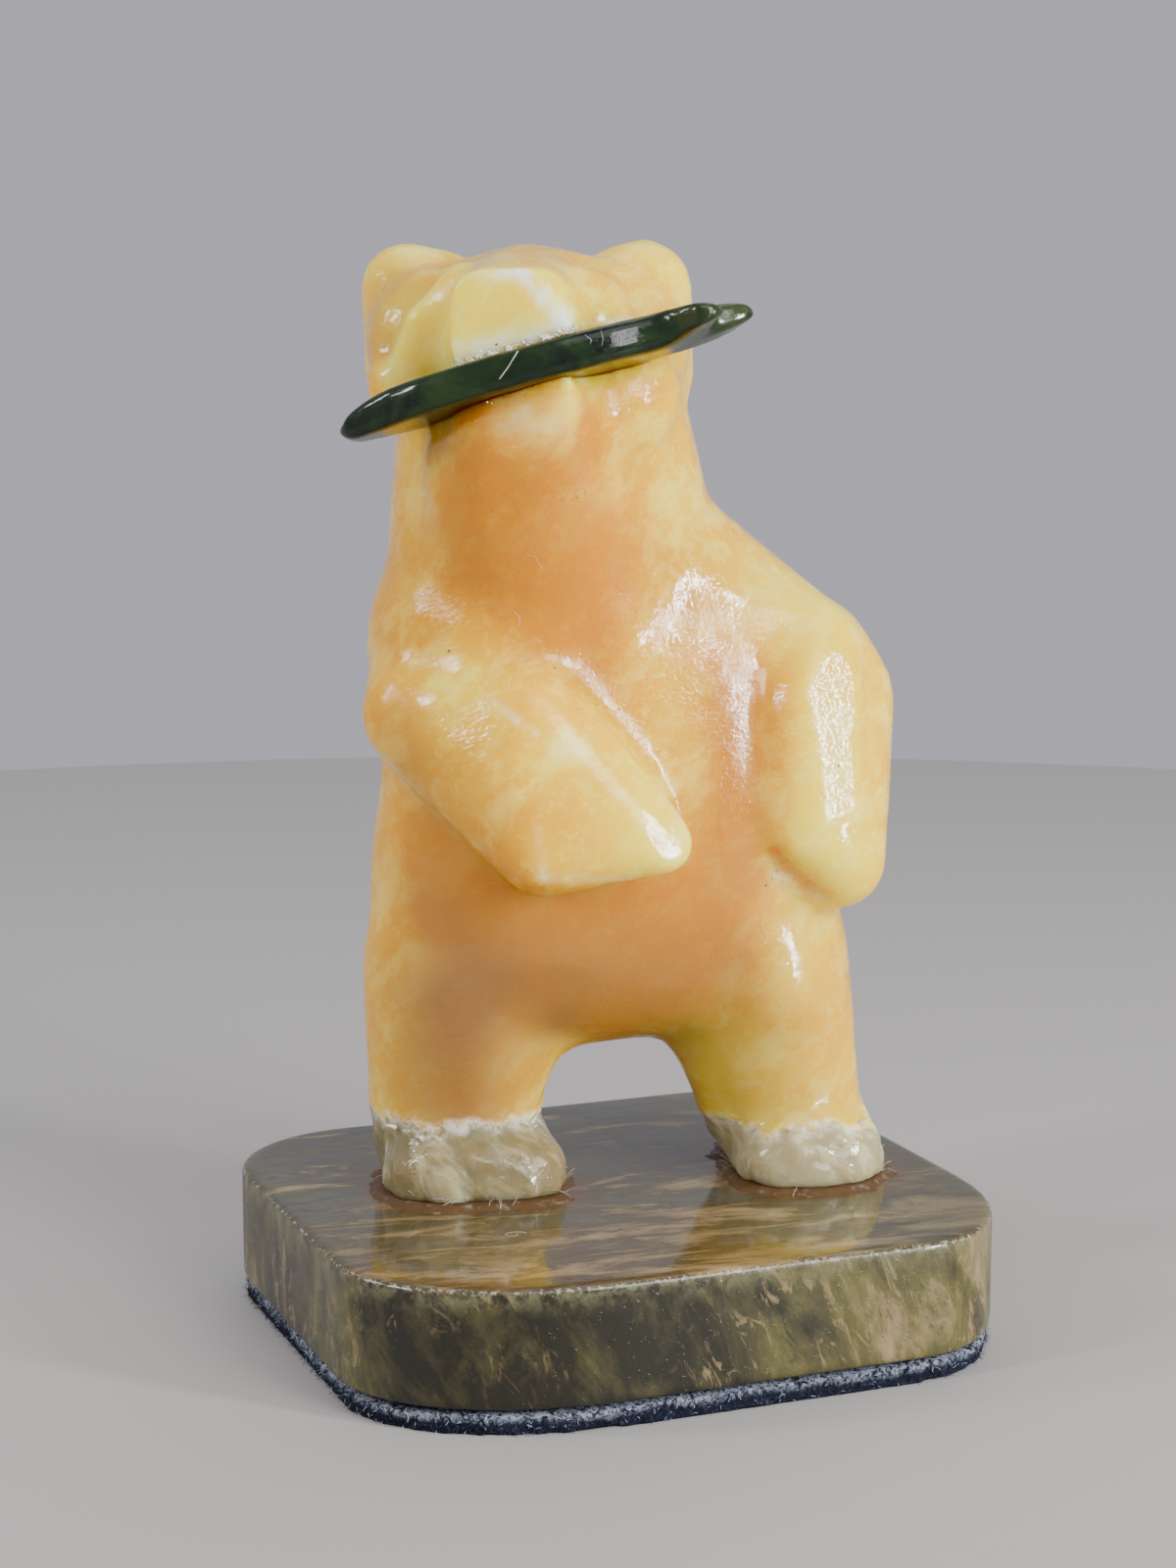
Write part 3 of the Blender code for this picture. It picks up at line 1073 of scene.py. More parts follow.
def ways_to(tree: BVHTree, points: Array, chosen: Array, far: float) -> Array:
    """The way from each point to a surface.

    Args:
        tree: search tree of the surface.
        points: the points, one a row.
        chosen: indices of the points that are measured.
        far: what the others get, and those that are farther away.

    Returns:
        The distances.
    """
    found = np.full(len(points), far)
    for index in chosen:
        distance = tree.find_nearest(Vector(points[index]), far)[3]
        if distance is not None:
            found[index] = distance
    return found


def bell(distance: Array, reach: float) -> Array:
    """A smooth hump of 1 at no distance that is gone by about twice the reach."""
    return np.exp(-((distance / reach) ** 2))


def step(values: Array, low: float, high: float) -> Array:
    """A smooth step from 0 at low to 1 at high, which may be the smaller."""
    share = np.clip((values - low) / (high - low), 0.0, 1.0)
    return share * share * (3.0 - 2.0 * share)


class Carving:
    """A fine mesh that is worked on point by point, as with a file and a graver."""

    def __init__(self, mesh: bpy.types.Mesh) -> None:
        """Reads the mesh.

        Args:
            mesh: the mesh to work on.
        """
        self.mesh = mesh
        self.count = len(mesh.vertices)
        self.points = np.empty(self.count * 3)
        mesh.vertices.foreach_get("co", self.points)
        self.points = self.points.reshape(-1, 3)
        ends = np.empty(len(mesh.edges) * 2, np.int32)
        mesh.edges.foreach_get("vertices", ends)
        self.ends = ends.reshape(-1, 2)
        self.neighbours = np.bincount(self.ends.ravel(), minlength=self.count)

    def normals(self) -> Array:
        """The surface's normals, after what was done so far.

        Returns:
            The normal at each point, one a row.
        """
        self.store()
        found = np.empty(self.count * 3)
        self.mesh.vertices.foreach_get("normal", found)
        return found.reshape(-1, 3)

    def store(self) -> None:
        """Writes the points back to the mesh."""
        self.mesh.vertices.foreach_set("co", self.points.astype(np.float32).ravel())
        self.mesh.update()

    def mean_of_neighbours(self, values: Array) -> Array:
        """Averages a value over each point's neighbours.

        Args:
            values: one number or one row for each point.

        Returns:
            The averages.
        """
        first, second = self.ends.T
        columns = values.reshape(self.count, -1).T
        sums = [
            np.bincount(first, column[second], self.count) + np.bincount(second, column[first], self.count)
            for column in columns
        ]
        return (np.array(sums) / self.neighbours).T.reshape(values.shape)

    def blur(self, values: Array, times: int) -> Array:
        """Softens a value over the surface.

        Args:
            values: one number or one row for each point.
            times: how often.

        Returns:
            The softened values.
        """
        for _ in range(times):
            values = (values + self.mean_of_neighbours(values)) / 2
        return values

    def ease(self, share: Array, times: int) -> None:
        """Smooths the surface where the share is above 0.

        Args:
            share: how much each point gives way, from 0 to 1.
            times: how often.
        """
        for _ in range(times):
            self.points += (self.mean_of_neighbours(self.points) - self.points) * share[:, None] * 0.5

    def raise_by(self, height: Array) -> None:
        """Moves each point along its normal by its height."""
        self.points += self.normals() * height[:, None]

    def flatten(self, point: Vector, facing: Vector, where: Array) -> None:
        """Files the surface flat.

        Args:
            point: a point on the flat.
            facing: the flat's outward normal.
            where: the points that may be filed.
        """
        proud = (self.points - np.array(point)) @ np.array(facing)
        self.points -= np.outer(np.where(where & (proud > 0), proud, 0.0), facing)

    def scoop(self, centre: Sequence[float], radius: float, share: float = 0.8) -> None:
        """Takes out what lies in a ball, as where a flake broke off.

        Args:
            centre: the ball's middle.
            radius: its radius.
            share: how much of the ball's depth is taken out.
        """
        away = self.points - np.array(centre)
        distance = np.linalg.norm(away, axis=1)
        inside = (distance < radius) & (distance > MERGE)
        inside &= (self.normals() * away).sum(1) > -radius
        self.points[inside] -= self.normals()[inside] * (radius - distance[inside])[:, None] * share

    def attribute(self, mask: Mask, values: Array) -> None:
        """Stores a value for the finish to read.

        Args:
            mask: the attribute.
            values: one number for each point.
        """
        made = self.mesh.attributes.new(mask.value, "FLOAT", "POINT")
        made.data.foreach_set("value", values.astype(np.float32))

    def tree(self) -> BVHTree:
        """Prepares the surface for looking up places on it.

        Returns:
            A search tree of the surface as it is now.
        """
        self.store()
        bm = bmesh.new()
        bm.from_mesh(self.mesh)
        found = BVHTree.FromBMesh(bm)
        bm.free()
        return found

    def depth(self, reach: float, tilt: float = 1.0, lift: float = 0.05 * MM) -> Array:
        """How far the solid goes on behind each point.

        Args:
            reach: the way that counts as 1.
            tilt: how far the slanted looks lean from the normal, as a slope.
            lift: how far inside the surface the looks start.

        Returns:
            The mean of one straight and four slanted looks, from 0 to 1.
        """
        tree = self.tree()
        inward = -self.normals()
        shares = np.zeros(self.count)
        for index, (place, normal) in enumerate(zip(self.points, inward)):
            into = Vector(normal)
            side = into.orthogonal().normalized() * tilt
            across = into.cross(side)
            start = Vector(place) + into * lift
            leans = (Vector(), side, -side, across, -across)
            way = 0.0
            for lean in leans:
                distance = tree.ray_cast(start, (into + lean).normalized(), reach)[3]
                way += reach if distance is None else distance
            shares[index] = way / reach / len(leans)
        return shares


# Sub-assemblies


@dataclass(frozen=True)
class Stroke:
    """Something that is done along a line on the stone: places and reach in mm, and how much of it."""

    start: Place
    end: Place
    reach: float
    amount: float

    def on(self, points: Array) -> Array:
        """What the stroke does at each of the given points, which are in metres."""
        return bell(way_to(points / MM, self.start, self.end), self.reach) * self.amount


def total(strokes: Sequence[Stroke], points: Array) -> Array:
    """What several strokes do together at each point."""
    return sum((stroke.on(points) for stroke in strokes), np.zeros(len(points)))


@dataclass(frozen=True)
class Flat:
    """A flat that is filed onto the stone: a point on it and its reach in mm, and the way it faces."""

    point: Place
    facing: Place
    reach: float


@dataclass
class Fish:
    """The flat jade fish that is glued across the bear's mouth."""

    voxel: float = 0.16 * MM
    skin_softening: int = 2
    softening: int = 14
    tip_softening: int = 60
    waviness: Wave = Wave(3 * MM, 2, 0, 0.04 * MM)
    head_taper: float = 6.5 * MM
    tail_taper: float = 6.0 * MM
    crown_taper: float = 5.0 * MM
    crown_least: float = 0.42
    blunting: float = 1.3 * MM
    thinnest: float = 0.10
    bluntest: float = 0.40
    depth_reach: float = 8 * MM
    depth_blur: int = 6
    tail_scuff: float = 5 * MM
    scuffed_back: Span = (8 * MM, 4 * MM)
    tree: BVHTree | None = None
    middle: Array | None = None
    axes: Array | None = None

    def build(self) -> bpy.types.Object:
        """Makes the fish from its CAD node, with ground ends and rounded edges.

        Returns:
            The piece.
        """
        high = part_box("fish")[1]
        carving = Carving(skin(merged_copy("fish"), self.voxel, self.skin_softening))
        self._find_axes(carving.points)
        self._taper(carving)
        carving.ease(np.ones(carving.count), self.softening)
        carving.raise_by(self.waviness.on(carving.points))
        carving.attribute(Mask.DEPTH, carving.blur(carving.depth(self.depth_reach), self.depth_blur))
        scuffs = step(carving.points[:, 0], high.x - self.tail_scuff, high.x)
        back = [high.y - way for way in self.scuffed_back]
        carving.attribute(Mask.RIM, scuffs * step(carving.points[:, 1], *back))
        self.tree = carving.tree()
        piece = make_piece("jade_fish", carving.mesh, GreenJade().build())
        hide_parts("fish")
        return piece

    def _find_axes(self, points: Array) -> None:
        """Finds the slab's middle and its long, wide and thin axes, which point right, back and up.

        Args:
            points: the slab's points, one a row.
        """
        self.middle = (points.max(0) + points.min(0)) / 2
        axes = np.linalg.svd(points - points.mean(0), full_matrices=False)[2]
        self.axes = axes * np.sign(axes[[0, 1, 2], [0, 1, 2]])[:, None]

    def local(self, points: Array) -> Array:
        """Places along the slab's length, width and thickness, from its middle."""
        return (points - self.middle) @ self.axes.T

    def _taper(self, carving: Carving) -> None:
        """Grinds the head thinner from above, and the tail's tips from below and a little from above.

        Args:
            carving: the fish.
        """
        places = self.local(carving.points)
        flat = places[:, :2]
        near = flat[:, 1] < 0
        head = flat[flat[:, 0].argmin()]
        tips = [flat[side][flat[side][:, 0].argmax()] for side in (near, ~near)]
        low, high = places[:, 2].min(), places[:, 2].max()
        grinds = [(low, head, self.head_taper, self.thinnest), (high, head, self.blunting, self.bluntest)]
        for tip in tips:
            grinds.append((high, tip, self.tail_taper, self.thinnest))
            grinds.append((low, tip, self.crown_taper, self.crown_least))
        for kept, tip, length, least in grinds:
            places[:, 2] = kept + (places[:, 2] - kept) * self._share(flat, tip, length, least)
        ends = np.zeros(carving.count)
        for tip in (head, *tips):
            away = np.linalg.norm(flat - tip, axis=1)
            ends = np.maximum(ends, step(away, self.blunting * 1.6, self.blunting / 2))
        carving.points = places @ self.axes + self.middle
        carving.ease(ends, self.tip_softening)

    @staticmethod
    def _share(flat: Array, tip: Array, length: float, least: float) -> Array:
        """How much of its thickness the slab keeps near a tip.

        Args:
            flat: places along its length and width.
            tip: the tip's place.
            length: how far the grinding goes in.
            least: the share that is left at the tip.

        Returns:
            The shares.
        """
        inward = np.clip(np.linalg.norm(flat - tip, axis=1) / length, 0.0, 1.0)
        return least + (1 - least) * np.sqrt(1 - (1 - inward) ** 2)


@dataclass
class Bear:
    """The carved bear: one block of honey-coloured stone."""

    fish: Fish
    voxel: float = 0.34 * MM
    softening: int = 8
    ease_times: int = 45
    late_times: int = 40
    polish_waves: tuple[Wave, ...] = (Wave(7 * MM, 2, 1, 0.10 * MM), Wave(2.2 * MM, 2, 2, 0.03 * MM))
    nose_set_back: float = 0.20 * MM
    nose_turn: float = -4.0
    nose_height: float = 0.80
    nose_reach: float = 8 * MM
    depth_reach: float = 30 * MM
    depth_blur: int = 10
    layer_height: float = 4.5 * MM
    layer_slope: float = -0.052
    layer_flatness: float = 0.3
    layer_edge: Wave = Wave(3.2 * MM, 3, 3, 0.90 * MM)
    layer_reach: Span = (4 * MM, 1 * MM)
    layer_step: float = 0.16 * MM
    step_width: float = 0.15 * MM
    step_reach: float = 1.0 * MM
    crumble: Wave = Wave(0.9 * MM, 3, 4, 0.14 * MM)
    crumble_reach: float = 0.8 * MM
    facets: Wave = Wave(3.0 * MM, 2, 9, 0.42 * MM)
    facet_depth: float = 0.8 * MM
    mouth_fit: float = 0.04 * MM
    mouth_reach: float = 0.9 * MM
    fish_reach: float = 8 * MM
    smear_reach: float = 1.1 * MM
    under_smear: float = 0.45
    carving: Carving | None = None
    tree: BVHTree | None = None
    near_fish: Array | None = None
    eased: tuple[Stroke, ...] = (
        # Jaw and left cheek
        Stroke((-11.5, -7.6, 63.6), (-5.5, -9.3, 63.6), 4.0, 1.2),
        Stroke((-14.5, -6.0, 62.5), (-14.5, -2.0, 64.0), 3.0, 1.0),
        # Brow beside the snout
        Stroke((-6.6, -10.0, 73.8), (-4.0, -7.5, 73.5), 1.8, 1.0),
        # Arms
        Stroke((-12.5, -5.0, 46.0), (-2.5, -10.0, 37.5), 3.6, 0.7),
        Stroke((13.5, -5.5, 49.0), (13.0, -8.0, 36.0), 3.2, 0.6),
    )
    eased_late: tuple[Stroke, ...] = (
        # Right edge of the snout
        Stroke((-7.4, -10.4, 75.0), (-6.2, -10.6, 71.5), 1.1, 1.2),
        # Left side of the jaw
        Stroke((-13.9, -7.2, 65.5), (-13.6, -5.8, 60.0), 1.3, 1.2),
        Stroke((-14.4, -5.5, 64.5), (-14.2, -4.5, 60.0), 1.5, 1.2),
        # Upper edge of the forearm, inner edge of the hanging arm, tip of the forearm
        Stroke((-8.2, -8.2, 46.1), (0.0, -10.8, 38.2), 1.6, 1.0),
        Stroke((11.0, -8.0, 44.0), (10.8, -9.0, 36.0), 0.8, 0.5),
        Stroke((-3.2, -11.0, 37.0), (0.6, -11.0, 36.8), 1.6, 0.12),
    )
    relief: tuple[Stroke, ...] = (
        # Ears
        Stroke((-13.5, 6.0, 75.5), (-14.5, 3.5, 75.0), 3.4, 0.50),
        Stroke((2.1, 0.5, 76.4), (4.5, 2.0, 75.5), 3.2, 0.38),
        # Groove in front of the left ear and the ridge before it
        Stroke((-9.4, 5.1, 75.5), (-13.0, 0.9, 73.7), 0.9, -0.40),
        Stroke((-13.0, 0.9, 73.7), (-15.7, 1.6, 69.4), 1.0, -0.60),
        Stroke((-12.0, -1.7, 74.2), (-14.6, -0.6, 71.4), 1.0, 0.50),
        Stroke((-14.6, -0.6, 71.4), (-15.4, 0.0, 69.4), 1.0, 0.50),
        # Neck at the left, right thigh
        Stroke((-13.5, -1.8, 64.5), (-14.0, -2.6, 60.5), 1.4, 0.55),
        Stroke((10.3, -6.0, 24.3), (10.6, -6.0, 23.7), 3.0, 0.90),
        # Jaw, the dent in its middle, left cheek
        Stroke((-3.7, -8.2, 64.7), (-3.3, -8.1, 64.3), 2.0, 0.55),
        Stroke((-5.9, -9.6, 66.4), (-5.8, -9.0, 62.6), 1.5, -0.22),
        Stroke((-14.2, -3.8, 70.5), (-13.9, -3.8, 72.0), 2.2, 0.50),
        # Hollow and fold on the chest
        Stroke((-4.2, -5.9, 48.6), (1.5, -6.3, 42.0), 1.6, -0.25),
        Stroke((8.7, -5.7, 46.6), (8.4, -6.3, 42.0), 0.35, 0.12),
        # Hanging arm
        Stroke((14.4, -5.0, 49.0), (13.4, -9.0, 35.0), 2.4, 0.40),
        Stroke((13.2, -7.3, 46.6), (13.6, -5.4, 50.2), 3.2, 1.00),
        # Elbow
        Stroke((-14.5, -3.0, 46.1), (-14.4, -3.0, 46.1), 1.8, 0.22),
        Stroke((-12.1, -4.0, 47.9), (-11.9, -4.0, 47.9), 1.6, 0.16),
    )
    flats: tuple[Flat, ...] = (
        # Snout, hanging arm, tip of the forearm
        Flat((-9.1, -10.15, 72.8), (-0.08, -0.93, 0.35), 7.0),
        Flat((12.3, -8.25, 43.5), (0.13, -0.977, 0.17), 6.8),
        Flat((-2.4, -11.2, 36.8), (0.14, -0.976, 0.166), 4.0),
    )
    paw_flakes: tuple[tuple[float, float, float, float], ...] = (
        (9.0, -7.7, 34.3, 0.9),
        (9.8, -7.5, 33.4, 1.0),
        (10.8, -7.7, 32.6, 0.9),
        (11.7, -7.5, 31.8, 1.0),
        (12.6, -8.1, 31.2, 0.8),
    )
    # Paler or deeper stone along strokes: partly its own milky and amber tone, partly painted light where it
    # lies in shade, and painted shade in grooves, seams and low on the belly
    milk: tuple[Stroke, ...] = (
        # Arms
        Stroke((-12.5, -4.5, 46.0), (-1.5, -11.0, 36.5), 4.6, 0.66),
        Stroke((14.0, -4.0, 50.0), (13.0, -8.5, 33.0), 4.8, 0.62),
        Stroke((11.6, -8.2, 47.0), (11.2, -9.2, 36.0), 2.2, 0.26),
        Stroke((-7.3, -9.1, 43.1), (-6.3, -9.3, 42.6), 0.9, 0.60),
        # Back
        Stroke((-8.0, 15.0, 62.0), (-8.0, 14.0, 28.0), 9.0, 0.24),
        Stroke((8.0, 15.0, 62.0), (8.0, 14.0, 28.0), 9.0, 0.24),
        # Ears
        Stroke((-14.0, 5.0, 75.0), (-15.0, 2.0, 72.0), 3.2, 0.40),
        Stroke((2.0, 0.0, 76.0), (5.0, 1.0, 70.0), 4.0, 0.55),
        # Snout and cheeks, with painted light on the left cheek, which lies in shade
        Stroke((-12.2, -8.4, 72.6), (-10.0, -9.6, 71.4), 3.0, 0.55),
        Stroke((-14.3, -1.0, 72.5), (-14.3, -4.5, 69.5), 2.6, 0.40),
        Stroke((-14.9, -0.8, 69.0), (-14.6, -3.0, 66.8), 2.4, 0.80),
        Stroke((-3.5, -8.5, 67.0), (0.5, -7.5, 65.0), 3.2, 0.10),
        # Jaw and neck, with painted shade under the fish and in the dent of the jaw
        Stroke((-10.0, -8.8, 63.0), (-9.0, -9.3, 64.0), 1.6, 0.20),
        Stroke((-13.5, -6.0, 65.0), (-13.0, -6.0, 58.0), 3.2, -0.22),
        Stroke((-7.0, -7.0, 62.0), (-3.0, -7.0, 58.5), 4.0, -0.22),
        Stroke((-12.5, -7.5, 64.0), (-6.5, -9.5, 64.5), 2.6, -0.35),
        Stroke((-5.9, -9.6, 66.4), (-5.8, -9.0, 62.6), 1.0, -0.40),
        # Shoulder and chest, with painted shade in the seam beside the hanging arm
        Stroke((12.0, -3.0, 53.0), (3.5, -4.0, 59.0), 4.5, 0.35),
        Stroke((-12.0, -6.0, 57.0), (-6.0, -8.0, 54.5), 5.0, -0.45),
        Stroke((-9.0, -7.6, 56.5), (-6.0, -7.0, 53.5), 3.0, 0.10),
        Stroke((-8.0, -6.0, 53.0), (-5.0, -6.0, 49.5), 3.5, -0.30),
        Stroke((0.5, -6.2, 49.5), (3.0, -6.5, 41.0), 2.6, 0.30),
        Stroke((7.6, -6.2, 46.0), (7.0, -6.7, 33.0), 2.8, -0.50),
        # Painted shade on the belly and flank
        Stroke((-10.0, -6.0, 32.5), (1.0, -6.0, 30.0), 5.0, -0.35),
        Stroke((-12.0, -5.0, 27.5), (7.0, -6.0, 27.5), 3.6, -0.42),
        Stroke((-4.0, -4.0, 26.0), (0.0, -4.0, 26.0), 3.5, -0.35),
        Stroke((-13.5, -1.0, 36.0), (-13.0, -1.0, 31.0), 3.0, -0.30),
        # Legs
        Stroke((-12.0, -1.5, 24.0), (-11.0, -1.0, 14.0), 5.0, 0.14),
        Stroke((8.0, -6.0, 28.0), (11.0, -4.0, 14.0), 5.5, 0.28),
        Stroke((10.0, -6.5, 27.0), (10.5, -6.0, 25.0), 2.0, 0.35),
        Stroke((4.0, -3.0, 20.0), (4.6, -3.0, 14.0), 3.6, 0.60),
        Stroke((-6.0, -4.5, 20.0), (-5.5, -4.0, 14.0), 3.4, -0.04),
    )
    # Painted shade: strokes that darken the stone where it lies in shade
    smoke: tuple[Stroke, ...] = (
        # Painted shade on the legs
        Stroke((-13.0, -2.5, 24.0), (-12.0, -2.0, 12.0), 6.2, 1.00),
        Stroke((-5.0, -3.2, 21.5), (-4.6, -2.6, 15.5), 2.2, 0.60),
        Stroke((9.0, -5.0, 22.0), (11.0, -4.0, 12.0), 6.5, 0.45),
        # Painted shade on the belly, the left flank and beside the hanging arm
        Stroke((-4.0, -5.0, 25.0), (1.0, -4.0, 23.0), 4.2, 0.45),
        Stroke((-11.0, -5.0, 27.0), (6.0, -6.0, 27.0), 4.4, 0.34),
        Stroke((7.0, -6.5, 44.0), (6.0, -6.7, 34.0), 3.4, 0.22),
        Stroke((-16.0, -2.0, 44.0), (-14.5, -1.0, 32.0), 3.0, 0.30),
        # Painted shade on the ears and the right shoulder
        Stroke((-15.0, 3.0, 74.0), (-15.5, 3.5, 70.0), 3.2, 0.55),
        Stroke((3.0, 2.0, 76.0), (5.0, 2.0, 72.0), 3.0, 0.25),
        Stroke((5.0, -4.0, 56.0), (10.0, -3.0, 54.0), 5.0, 0.18),
    )
    haze: tuple[Stroke, ...] = (
        # Shoulder at the left, then the chest
        Stroke((-14.3, -0.2, 53.6), (-13.2, -1.6, 53.0), 2.0, 1.0),
        Stroke((-4.5, -6.2, 49.0), (2.5, -7.0, 40.5), 2.6, 1.0),
        Stroke((7.0, -6.4, 46.5), (7.0, -6.6, 40.0), 2.0, 0.5),
        Stroke((-1.5, -5.9, 53.0), (2.0, -5.6, 49.5), 2.4, 0.6),
        Stroke((5.0, -5.4, 51.0), (6.6, -5.4, 48.5), 1.8, 0.8),
    )
    frost: tuple[Stroke, ...] = (
        # Rim of the snout's flat
        Stroke((-13.4, -7.8, 74.2), (-11.6, -8.7, 74.4), 0.50, 0.75),
        Stroke((-11.6, -8.7, 74.4), (-10.4, -9.3, 74.3), 0.55, 0.90),
        Stroke((-10.2, -9.4, 74.2), (-9.0, -10.1, 72.7), 0.50, 0.85),
        Stroke((-9.0, -10.1, 72.7), (-7.6, -10.9, 70.9), 0.55, 0.70),
        Stroke((-8.3, -10.4, 71.6), (-6.2, -10.3, 71.0), 0.70, 0.60),
        Stroke((-13.8, -7.4, 69.5), (-8.3, -10.7, 70.6), 0.55, 0.75),
        # Jaw, broken paw
        Stroke((-10.8, -9.2, 64.9), (-8.4, -9.9, 64.6), 1.5, 0.24),
        Stroke((9.5, -7.0, 33.0), (12.5, -7.6, 31.0), 0.6, 0.5),
        # Forearm
        Stroke((-7.6, -9.0, 43.2), (-6.2, -9.3, 42.7), 0.7, 0.45),
        Stroke((-11.2, -6.3, 46.0), (-10.2, -7.8, 44.9), 0.32, 0.35),
        Stroke((-10.2, -7.8, 44.9), (-9.0, -8.6, 44.0), 0.32, 0.30),
        Stroke((-9.3, -9.4, 37.9), (-8.9, -9.5, 34.5), 0.32, 0.22),
        Stroke((-8.9, -9.5, 34.4), (-2.9, -10.1, 34.1), 0.40, 0.30),
    )
    # Dark grit strokes: dirt in places, painted shadow in others
    dirt: tuple[Stroke, ...] = (
        # Darker under the jaw, dirt beside the snout, painted shadow at the mouth's left end
        Stroke((-11.9, -6.4, 59.8), (-10.6, -6.9, 59.0), 1.1, 0.5),
        Stroke((-6.6, -8.6, 60.0), (-5.6, -8.6, 59.6), 0.8, 0.9),
        Stroke((-6.8, -9.6, 72.3), (-4.6, -8.4, 72.2), 1.1, 0.45),
        Stroke((-14.9, -7.2, 66.4), (-14.7, -7.4, 66.2), 0.4, 0.8),
        # Painted shadow along the broken paw's notch
        Stroke((9.2, -6.8, 32.9), (9.3, -6.8, 32.8), 0.3, 2.0),
        Stroke((9.0, -6.9, 33.8), (10.2, -7.0, 32.6), 0.4, 0.6),
        Stroke((10.2, -7.0, 32.6), (12.4, -7.6, 31.3), 0.4, 0.5),
    )

    def build(self) -> bpy.types.Object:
        """Makes the fine bear from its CAD node.

        Returns:
            The piece.
        """
        low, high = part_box("bear")
        block = merged_copy("bear")
        nose = self._nose_plane(block, low.z + (high.z - low.z) * self.nose_height)
        carving = Carving(skin(block, self.voxel, self.softening))
        self.carving = carving
        carving.ease(np.clip(total(self.eased, carving.points), 0.0, 1.0), self.ease_times)
        carving.raise_by(sum(wave.on(carving.points) for wave in self.polish_waves))
        carving.raise_by(total(self.relief, carving.points) * MM)
        self._file_flats(carving, nose)
        for *place, radius in self.paw_flakes:
            carving.scoop(np.array(place) * MM, radius * MM)
        layer = self._layer_edge(carving, low.z)
        self._close_mouth(carving)
        carving.points[:, 2] = np.maximum(carving.points[:, 2], low.z)
        self._mark(carving, layer)
        self.tree = carving.tree()
        piece = make_piece("stone_bear", carving.mesh, HoneyStone().build())
        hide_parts("bear")
        return piece

    def _mark(self, carving: Carving, layer: Array) -> None:
        """Stores what the finish reads.

        Args:
            carving: the bear.
            layer: how far each point is above the edge of the pale layer.
        """
        every = np.arange(carving.count)
        self.near_fish = ways_to(self.fish.tree, carving.points, every, self.fish_reach)
        carving.attribute(Mask.DEPTH, carving.blur(carving.depth(self.depth_reach), self.depth_blur))
        carving.attribute(Mask.LAYER, layer)
        upper = self.fish.local(carving.points)[:, 2] > 0
        smears = bell(self.near_fish, self.smear_reach) * np.where(upper, 1.0, self.under_smear)
        carving.attribute(Mask.MOUTH, smears)
        masks = {
            Mask.MILK: self.milk,
            Mask.FROST: self.frost,
            Mask.DIRT: self.dirt,
            Mask.SMOKE: self.smoke,
            Mask.HAZE: self.haze,
        }
        for mask, strokes in masks.items():
            carving.attribute(mask, total(strokes, carving.points))

    @staticmethod
    def _nose_plane(block: bmesh.types.BMesh, above: float) -> tuple[Vector, Vector]:
        """Finds the flat on the end of the nose.

        Args:
            block: the bear's CAD mesh.
            above: the height that the head is above.

        Returns:
            A point on the flat and its normal.
        """
        flat = block.copy()
        bmesh.ops.dissolve_limit(flat, angle_limit=math.radians(0.3), verts=flat.verts, edges=flat.edges)
        front = [face for face in flat.faces if face.calc_center_median().z > above and face.normal.y < -0.5]
        nose = max(front, key=lambda face: face.calc_area())
        found = nose.calc_center_median().copy(), nose.normal.copy()
        flat.free()
        return found

    def _file_flats(self, carving: Carving, nose: tuple[Vector, Vector]) -> None:
        """Files the end of the nose and the other flats, so that their edges are crisp.

        Args:
            carving: the bear.
            nose: a point on the nose's flat and its normal.
        """
        point, facing = nose
        facing.rotate(Euler((0.0, 0.0, math.radians(self.nose_turn))))
        near = np.linalg.norm(carving.points - np.array(point), axis=1) < self.nose_reach
        carving.flatten(point - facing * self.nose_set_back, facing, near)
        for flat in self.flats:
            near = np.linalg.norm(carving.points / MM - flat.point, axis=1) < flat.reach
            carving.flatten(Vector(flat.point) * MM, Vector(flat.facing).normalized(), near)
        carving.ease(np.clip(total(self.eased_late, carving.points), 0.0, 1.0), self.late_times)

    def _layer_edge(self, carving: Carving, sole: float) -> Array:
        """Raises the honey-coloured stone a little above the pale layer at the feet.

        Args:
            carving: the bear.
            sole: height of the soles.

        Returns:
            How far each point is above the ragged edge of the pale layer.
        """
        edge = sole + self.layer_height + carving.points[:, 0] * self.layer_slope
        edge += self.layer_edge.on(carving.points * (1, 1, self.layer_flatness))
        layer = carving.points[:, 2] - edge
        lift = step(layer, -self.step_width, self.step_width) * self.layer_step
        lift *= bell(np.maximum(layer, 0.0), self.step_reach)
        lift += self.crumble.on(carving.points) * bell(layer, self.crumble_reach)
        lift += np.abs(self.facets.on(carving.points)) * step(layer, 0.0, -self.facet_depth)
        carving.raise_by(lift * step(layer, *self.layer_reach))
        return layer

    def _close_mouth(self, carving: Carving) -> None:
        """Draws the rim of the saw cut up to the fish that is glued into it.

        Args:
            carving: the bear.
        """
        for index, place in enumerate(carving.points):
            point, _, _, distance = self.fish.tree.find_nearest(Vector(place), self.mouth_reach)
            if distance is None or distance < self.mouth_fit:
                continue
            share = float(step(np.array(distance), self.mouth_reach, self.mouth_reach / 2))
            toward = (np.array(point) - place) / distance
            carving.points[index] += toward * (distance - self.mouth_fit) * share


